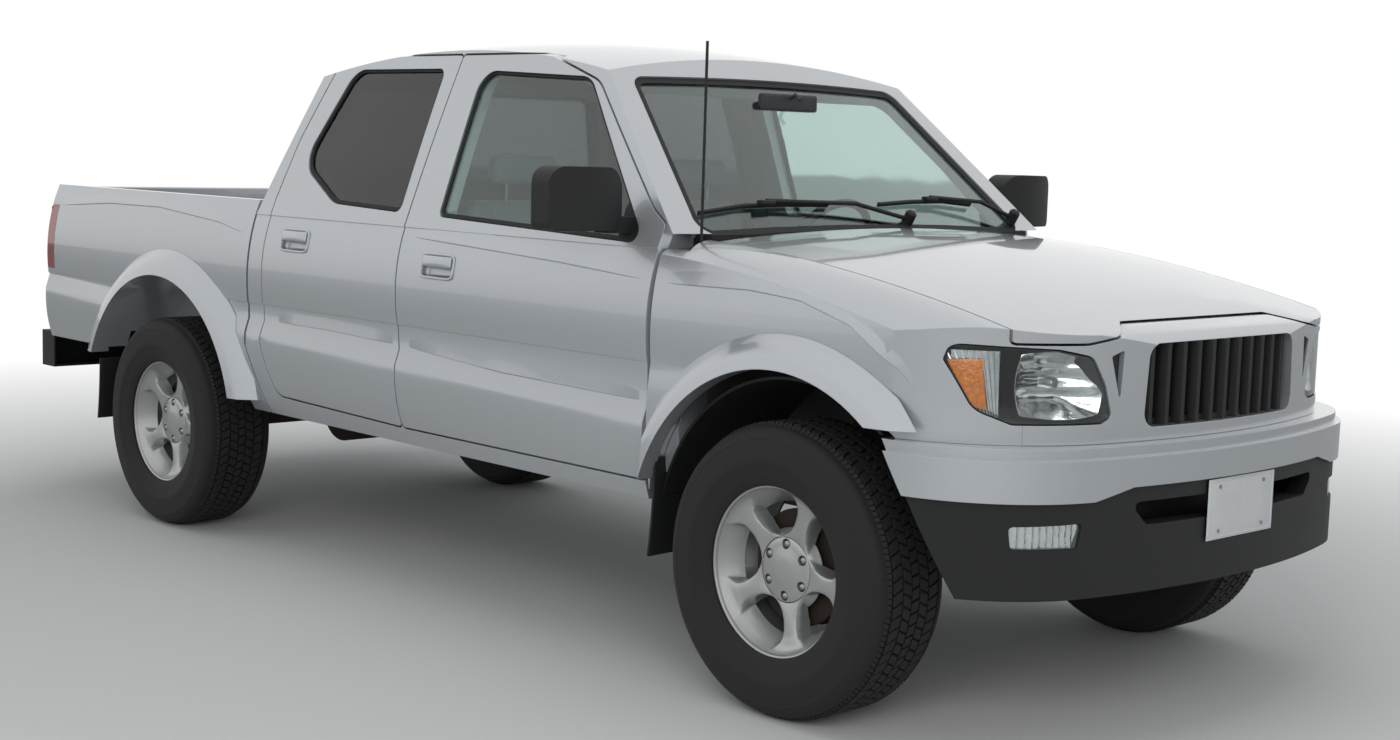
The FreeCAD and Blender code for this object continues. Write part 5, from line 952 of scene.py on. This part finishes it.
# Glass of the door mirrors
def mirror_face(side_name, side):
    """Silvered glass laid on the rear face of a door mirror."""
    low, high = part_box("mirror_" + side_name)
    inner, outer = (low.y, high.y) if side > 0 else (high.y, low.y)

    def place(p, q):
        y = inner + (outer - inner) * (0.36 + 0.52 * (p * (1 - 0.04 * q * q) + 1) / 2)
        z = low.z + (high.z - low.z) * (0.13 + 0.74 * (q * (1 - 0.06 * p * p) + 1) / 2)
        spot, _ = struck("mirror_" + side_name, (0.5, y, z), FORWARD, (0.9812, y, z))
        return spot - FORWARD * 0.0012
    glass = facing(patch("mirror_glass_" + side_name, 16, 12, place), -FORWARD)
    walled(glass, 0.001, mirror_glass, body=body_of("mirror_" + side_name))


for side_name, way in SIDES.items():
    mirror_face(side_name, way)


# Seats: foam in sewn cloth, blown up by a cloth simulation between its held seams
CUSHION_EDGE = 0.035
CUSHION_VOXEL = 0.014
CUSHION_SWELL = 0.012
CUSHION_PRESSURE = 4
CLOTH_FRAMES = 20
SEAM_DEPTH, SEAM_WIDTH = 0.006, 0.007
HELD_BY_SEAM, HELD_BY_BACK = 0.008, 0.03


def stuffed(name, low, high, seams, lean, back):
    """A cushion between two corners, with seams along (axis, place) planes, resting on such a plane."""
    piece = settled(block(name, low, high, CUSHION_EDGE, 4))
    modified(piece, "REMESH", mode="VOXEL", voxel_size=CUSHION_VOXEL)

    def to_seam(place):
        return min([abs(place[axis] - level) for axis, level in seams] + [1.0])

    def resting(place):
        return abs(place[back[0]] - back[1]) < HELD_BY_BACK
    start = [corner.co.copy() for corner in piece.data.vertices]
    held = piece.vertex_groups.new(name="held")
    pinned = [c.index for c in piece.data.vertices if resting(c.co) or to_seam(c.co) < HELD_BY_SEAM]
    held.add(pinned, 1.0, "REPLACE")
    cloth = piece.modifiers.new("cloth", "CLOTH")
    cloth.settings.vertex_group_mass = "held"
    cloth.settings.use_pressure = True
    cloth.settings.uniform_pressure_force = CUSHION_PRESSURE
    cloth.settings.effector_weights.gravity = 0
    for moment in range(1, CLOTH_FRAMES + 1):
        bpy.context.scene.frame_set(moment)
    alone(piece)
    bpy.ops.object.modifier_apply(modifier="cloth")
    bpy.context.scene.frame_set(1)
    piece.vertex_groups.clear()
    for corner, first in zip(piece.data.vertices, start):
        moved = corner.co - first
        if moved.length > CUSHION_SWELL:
            corner.co = first + moved.normalized() * CUSHION_SWELL
    modified(piece, "SUBSURF", levels=1, render_levels=1)
    outward = [corner.normal.copy() for corner in piece.data.vertices]
    for corner, normal in zip(piece.data.vertices, outward):
        if not resting(corner.co):
            corner.co -= normal * SEAM_DEPTH * math.exp(-(to_seam(corner.co) / SEAM_WIDTH) ** 2)
    for corner in piece.data.vertices:
        corner.co.x -= lean * (corner.co.z - low[2])
    return piece


def seat_parts(name, middle, half, front, foot, top, lean, cushion_top, seams):
    """Cushion and back of a seat, whose sizes run from its middle and half width."""
    across = [(1, middle + seam) for seam in seams]
    cushion = stuffed(name + "_cushion", (foot - 0.03, middle - half, cushion_top - 0.14),
                      (front, middle + half, cushion_top - 0.012), across + [(0, front - 0.11)], 0.0,
                      (2, cushion_top - 0.14))
    back = stuffed(name + "_back", (foot - 0.085, middle - half + 0.01, cushion_top - 0.06),
                   (foot - 0.012, middle + half - 0.01, top), across + [(2, cushion_top + 0.16)], lean,
                   (0, foot - 0.085))
    return cushion, back


def cloth_piece(piece, replaces=()):
    """Cover a cushion in seat cloth and let it ride."""
    finished(piece, seat_fabric, "truck", "seat_fabric", angle=60, replaces=replaces)


driver = seat_parts("driver", 0.380, 0.226, 0.528, 0.210, 1.235, 0.294, 0.890, (-0.13, 0.13))
for index, part in enumerate(driver):
    passenger = copied(part, part.name.replace("driver", "passenger"), MIRRORED)
    cloth_piece(part, replaces=["front_seats"] if index == 0 else ())
    cloth_piece(passenger)
bench = seat_parts("bench", 0.0, 0.575, -0.142, -0.480, 1.285, 0.204, 0.860, (-0.40, -0.19, 0.19, 0.40))
cloth_piece(bench[0], replaces=["rear_bench"])
cloth_piece(bench[1])


def head_rest(name, middle):
    """A small sewn pad on two posts."""
    low, high = (0.032, middle - 0.125, 1.285), (0.096, middle + 0.125, 1.378)
    pad = block(name, low, high, 0.026, 4)
    modified(pad, "SUBSURF", levels=2, render_levels=2)
    cloth_piece(pad)
    posts = [tube("post", [(0.055, middle + y, 1.15), (0.062, middle + y, 1.31)], 0.0055)
             for y in (-0.06, 0.06)]
    finished(joined(name + "_posts", posts), bright_steel, "truck")


def plinth(name, low, high):
    """A dark box that carries a seat."""
    trimmed(block(name, low, high, 0.012), dark_trim)


for side_name, way in SIDES.items():
    head_rest("head_rest_" + side_name, way * 0.380)
    plinth("seat_frame_" + side_name, (0.16, way * 0.38 - 0.20, 0.583), (0.47, way * 0.38 + 0.20, 0.752))
plinth("bench_frame", (-0.53, -0.56, 0.583), (-0.20, 0.56, 0.722))


# Door cards, laid on the doors' inner faces, with armrest and handle
def door_card(door, x0, x1, z0, z1, side):
    """A moulded card with a softly raised middle."""
    def place(p, q):
        x, z = x0 + (x1 - x0) * (p + 1) / 2, z0 + (z1 - z0) * (q + 1) / 2
        spot, _ = struck(door, (x, side * 0.66, z), (0, side, 0), (x, side * 0.79, z))
        rise = 0.002 + 0.010 * (1 - p ** 6) * (1 - q ** 6)
        return Vector((x, spot.y - side * rise, z))
    card = facing(patch(door + "_card", 30, 20, place), (0, -side, 0))
    walled(card, 0.002, grey_trim, "grey_trim", body=body_of(door))
    middle, level = (x0 + x1) / 2, z0 + (z1 - z0) * 0.62
    spot = place(0, 0.24)
    rest = block(door + "_armrest", (middle - 0.19, min(spot.y, spot.y - side * 0.055), level - 0.03),
                 (middle + 0.17, max(spot.y, spot.y - side * 0.055), level + 0.025), 0.018, 4)
    finished(rest, dark_trim, body_of(door), "black_plastic")
    path = [(middle + along, spot.y - side * out, level + up) for along, out, up in DOOR_PULL]
    finished(tube(door + "_pull", path, 0.006), bright_steel, body_of(door))


DOOR_PULL = ((0.20, 0.004, 0.05), (0.205, 0.022, 0.055), (0.265, 0.022, 0.055), (0.27, 0.004, 0.05))
for side_name, way in SIDES.items():
    door_card("door_front_" + side_name, 0.14, 1.02, 0.66, 1.10, way)
    door_card("door_rear_" + side_name, -0.42, -0.04, 0.66, 1.13, way)


# Interior mirror and shift lever
glass_back = block("interior_mirror", (0.842, -0.112, 1.535), (0.866, 0.132, 1.590), 0.010, 4)
out_of_edit()
stem = tube("mirror_stem", [(0.862, 0.01, 1.575), (0.885, 0.01, 1.588), (0.905, 0.01, 1.572)], 0.006)
trimmed(joined("interior_mirror", [glass_back, stem]), dark_trim)
SHIFT_KNOB = ((0, 6), (200, 6), (205, 16), (225, 22), (245, 20), (256, 10), (258, 0))
SHIFT_BOOT = ((0, 75), (20, 70), (35, 50), (55, 42), (75, 24), (95, 12), (97, 0))
SHIFT_AXIS = Vector((-0.22, 0.0, 0.975))
lever = turned("shift_knob", scaled(SHIFT_KNOB), (0.62, 0.0, 0.66), SHIFT_AXIS, steps=24)
boot = turned("shift_boot", scaled(SHIFT_BOOT), (0.62, 0.0, 0.60), SHIFT_AXIS, steps=32)
trimmed(joined("shift_lever", [lever, boot]), dark_trim)


# Ribs of the bed's floor, and the tailgate's handle
ribs = []
for count in range(9):
    y = -0.50 + count * 0.125
    spot, _ = struck("cargo_bed", (-1.6, y, 1.1), -UP)
    ribs.append(block("rib", (-2.25, y - 0.022, spot.z - 0.004), (-0.98, y + 0.022, spot.z + 0.007), 0.006))
finished(joined("bed_floor_ribs", ribs), paint, "truck", "body_paint")
spot, _ = struck("tailgate", (-2.6, 0, 1.09), FORWARD)
pull_handle("tailgate", framed(spot, -FORWARD, LEFT), (0.085, 0.034, 0.018, 0.010),
            (0.092, 0.040, 0.005, 0.001), (0.16, 0.036, 0.013), 0.015, black_plastic, "black_plastic")


# Dials, vents, radio and glove box on the dashboard
def on_dash(y, z):
    """Where the dashboard's rear face stands at a place."""
    return framed(*struck("dashboard", (0.2, y, z), FORWARD, (0.72, y, z)), LEFT)


dials = []
for y, radius in ((0.452, 0.040), (0.380, 0.052), (0.305, 0.040)):
    profile = [(0.0, 0), (0.0005, radius * 0.96), (0.010, radius), (0.010, radius * 1.08),
               (-0.004, radius * 1.1)]
    dials.append(put_on(turned("dial", profile, (0, 0, 0), UP, steps=40), on_dash(y, 1.055)))
trimmed(joined("instrument_dials", dials), dark_trim)
vents = []
for y in (-0.56, -0.07, 0.07, 0.57):
    vents.append(put_on(rounded_ring("vent", 0.046, 0.026, 0.004, 0.001), on_dash(y, 1.06)))
    for row in range(4):
        slat = crowned("slat", (0.084, 0.003, 0.006), 0.001, 0.0)
        vents.append(put_on(slat, on_dash(y, 1.06) @ Matrix.Translation((0, -0.018 + row * 0.012, -0.002))))
trimmed(joined("air_vents", vents))
KNOB = ((0, 14), (14, 12), (16, 9), (16, 0))
KNOB_PLACES = ((-0.07, 0.985), (0.07, 0.985), (-0.06, 0.915), (0.0, 0.915), (0.06, 0.915))
radio = put_on(crowned("radio", (0.178, 0.056, 0.010), 0.003, 0.0),
               on_dash(0.0, 0.985) @ Matrix.Translation((0, 0, -0.004)))
knobs = [put_on(turned("knob", scaled(KNOB), (0, 0, 0), UP, steps=24), on_dash(y, z)) for y, z in KNOB_PLACES]
trimmed(joined("radio_and_knobs", [radio] + knobs))
lid = put_on(crowned("glove_box_lid", (0.34, 0.13, 0.008), 0.004, 0.004),
             on_dash(-0.38, 0.955) @ Matrix.Translation((0, 0, -0.002)))
finished(lid, grey_trim, "truck", "grey_trim")


# Under the hood: ribbed cover, air box with its duct, battery and hoses
FILLER_CAP = ((0, 0), (0, 30), (20, 30), (26, 24), (27, 0))
BATTERY_POST = ((0, 0), (0, 9), (18, 8), (19, 0))
AIR_DUCT = ((1.75, 0.42, 0.90), (1.75, 0.30, 0.965), (1.76, 0.18, 0.975), (1.78, 0.08, 0.96))
TOP_HOSE = ((2.18, -0.20, 0.86), (2.10, -0.20, 0.90), (2.02, -0.12, 0.93), (1.98, -0.06, 0.92))
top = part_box("engine")[1].z
cover = [put_on(crowned("valve_cover", (0.50, 0.20, 0.075), 0.018, 0.006),
                Matrix.Translation((1.78, 0.0, top - 0.02)))]
for count in range(5):
    fin = crowned("fin", (0.42, 0.008, 0.010), 0.002, 0.0)
    cover.append(put_on(fin, Matrix.Translation((1.78, (count - 2) * 0.032, top + 0.052))))
cover.append(turned("filler_cap", scaled(FILLER_CAP), (1.94, 0.05, top + 0.055), UP, steps=24))
finished(joined("valve_cover", cover), alloy, "truck", "alloy")
trimmed(block("air_filter_box", (1.62, 0.40, 0.76), (1.88, 0.60, 0.93), 0.02, 3))
trimmed(tube("air_duct", AIR_DUCT, 0.032, 5))
battery = [block("battery", (1.92, -0.60, 0.74), (2.10, -0.42, 0.92), 0.006)]
battery += [turned("post", scaled(BATTERY_POST), (x, -0.51, 0.92), UP, steps=16) for x in (1.95, 2.07)]
trimmed(joined("battery", battery))
trimmed(block("radiator_tank", (2.17, -0.33, 0.52), (2.235, 0.33, 0.90), 0.012, 3))
trimmed(tube("top_hose", TOP_HOSE, 0.019, 4), seal_rubber)


# Dark backs of the slots beside the grille, as (distance from the middle, height)
SLOT = ((0.4485, 0.9605), (0.4135, 0.9725), (0.4190, 0.8560))
for side_name, way in SIDES.items():
    spot, _ = struck("grille_surround", (3, way * 0.395, 0.93), -FORWARD)
    back = drawn("slot_back_" + side_name, [(spot.x - 0.032, way * y, z) for y, z in SLOT])
    trimmed(raised(back, (0.016, 0, 0)))


# Clear and amber parts of the tail lamps
for side_name, way in SIDES.items():
    for height, material, name in ((0.905, white_lens, "reverse_lens_"), (1.09, amber_lens, "tail_amber_")):
        spot, _ = struck("tail_lamps", (-2.6, way * 0.775, height), FORWARD)
        lens = crowned(name + side_name, (0.086, 0.044, 0.003), 0.001, 0.002)
        put_on(lens, framed(spot + FORWARD * 0.0018, -FORWARD, LEFT))
        finished(lens, material, "truck", "lamp_glass")


# Stage: a pale floor that fades to white, a white surround and soft lamps from above
FLOOR_SIZE = 160
FLOOR_FADE = (2.4, 6.5)


def rays_that_see(world):
    """One for rays that show the surround: from the camera, off a gloss or through a pane."""
    rays = node(world, "ShaderNodeLightPath")
    total = rays.outputs["Is Camera Ray"]
    for kind in ("Is Glossy Ray", "Is Transmission Ray"):
        larger = node(world, "ShaderNodeMath", {0: total, 1: rays.outputs[kind]}, operation="MAXIMUM")
        total = larger.outputs["Value"]
    return total


def make_stage():
    """The floor: matt for the light, and white to the camera away from the truck."""
    bpy.ops.object.select_all(action="DESELECT")
    bpy.ops.mesh.primitive_plane_add(size=FLOOR_SIZE, location=(0, 0, -0.001))
    floor = bpy.context.object
    floor.name = "studio_floor"
    material = bpy.data.materials.new("matt studio floor")
    material.use_nodes = True
    shader = material.node_tree.nodes["Principled BSDF"]
    shader.inputs["Base Color"].default_value = colour("#d6d6d4")
    shader.inputs["Roughness"].default_value = 0.9
    place = node(material, "ShaderNodeTexCoord")
    far = node(material, "ShaderNodeVectorMath", {0: place.outputs["Object"]}, operation="LENGTH")
    fade = node(material, "ShaderNodeMapRange", {
        "Value": far.outputs["Value"], "From Min": FLOOR_FADE[0], "From Max": FLOOR_FADE[1]})
    rays = node(material, "ShaderNodeLightPath")
    seen = node(material, "ShaderNodeMath", {0: fade.outputs["Result"], 1: rays.outputs["Is Camera Ray"]},
                operation="MULTIPLY")
    white = node(material, "ShaderNodeEmission", {"Color": (1, 1, 1, 1), "Strength": 1.0})
    blended(material, seen.outputs["Value"], shader.outputs["BSDF"], white.outputs["Emission"])
    floor.data.materials.append(material)


def make_sky():
    """An even sky that lights the truck, and plain white where the camera looks past it."""
    world = bpy.data.worlds.new("overcast studio")
    bpy.context.scene.world = world
    world.use_nodes = True
    light = world.node_tree.nodes["Background"]
    light.inputs["Color"].default_value = colour("#e9eef2")
    light.inputs["Strength"].default_value = 0.5
    white = node(world, "ShaderNodeBackground", {"Color": (1, 1, 1, 1)})
    blended(world, rays_that_see(world), light.outputs["Background"], white.outputs["Background"],
            "World Output")


def make_lamp(name, place, target, size, power):
    """A large soft lamp aimed at a point."""
    data = bpy.data.lights.new(name, "AREA")
    data.shape = "RECTANGLE"
    data.size, data.size_y = size
    data.energy = power
    lamp = bpy.data.objects.new(name, data)
    bpy.context.scene.collection.objects.link(lamp)
    lamp.location = place
    lamp.visible_glossy = False
    lamp.rotation_mode = "QUATERNION"
    lamp.rotation_quaternion = (Vector(target) - Vector(place)).to_track_quat("-Z", "Y")


# Camera: where the photograph was taken from, with the turn and tilt it was held at
CAMERA_PLACE = Vector((5.04707, -4.33043, 1.42384))
CAMERA_HEADING = 2.379
CAMERA_TILT = -0.113
CAMERA_ROLL = 0.031
CAMERA_FOCAL_PX = 1967.59
PHOTO_WIDTH_PX = 1400
SENSOR_MM = 36


def make_camera():
    """The camera, turned, tilted and rolled as the photograph's was."""
    data = bpy.data.cameras.new("camera")
    data.sensor_width = SENSOR_MM
    data.lens = CAMERA_FOCAL_PX / PHOTO_WIDTH_PX * SENSOR_MM
    camera = bpy.data.objects.new("camera", data)
    bpy.context.scene.collection.objects.link(camera)
    forward = Vector((math.cos(CAMERA_TILT) * math.cos(CAMERA_HEADING),
                      math.cos(CAMERA_TILT) * math.sin(CAMERA_HEADING), math.sin(CAMERA_TILT)))
    right = forward.cross(UP).normalized()
    up = right.cross(forward)
    across = right * math.cos(CAMERA_ROLL) + up * math.sin(CAMERA_ROLL)
    above = up * math.cos(CAMERA_ROLL) - right * math.sin(CAMERA_ROLL)
    turn = Matrix((across, above, -forward)).transposed().to_4x4()
    camera.matrix_world = Matrix.Translation(CAMERA_PLACE) @ turn
    bpy.context.scene.camera = camera


make_stage()
make_sky()
make_lamp("overhead softbox", (0.6, -0.8, 6.0), (0.3, 0, 0.8), (7.0, 5.0), 50)
make_lamp("front softbox", (5.6, -5.4, 3.2), (0.9, -0.5, 0.8), (5.0, 3.0), 210)
make_camera()
bpy.context.scene.view_settings.view_transform = "Standard"
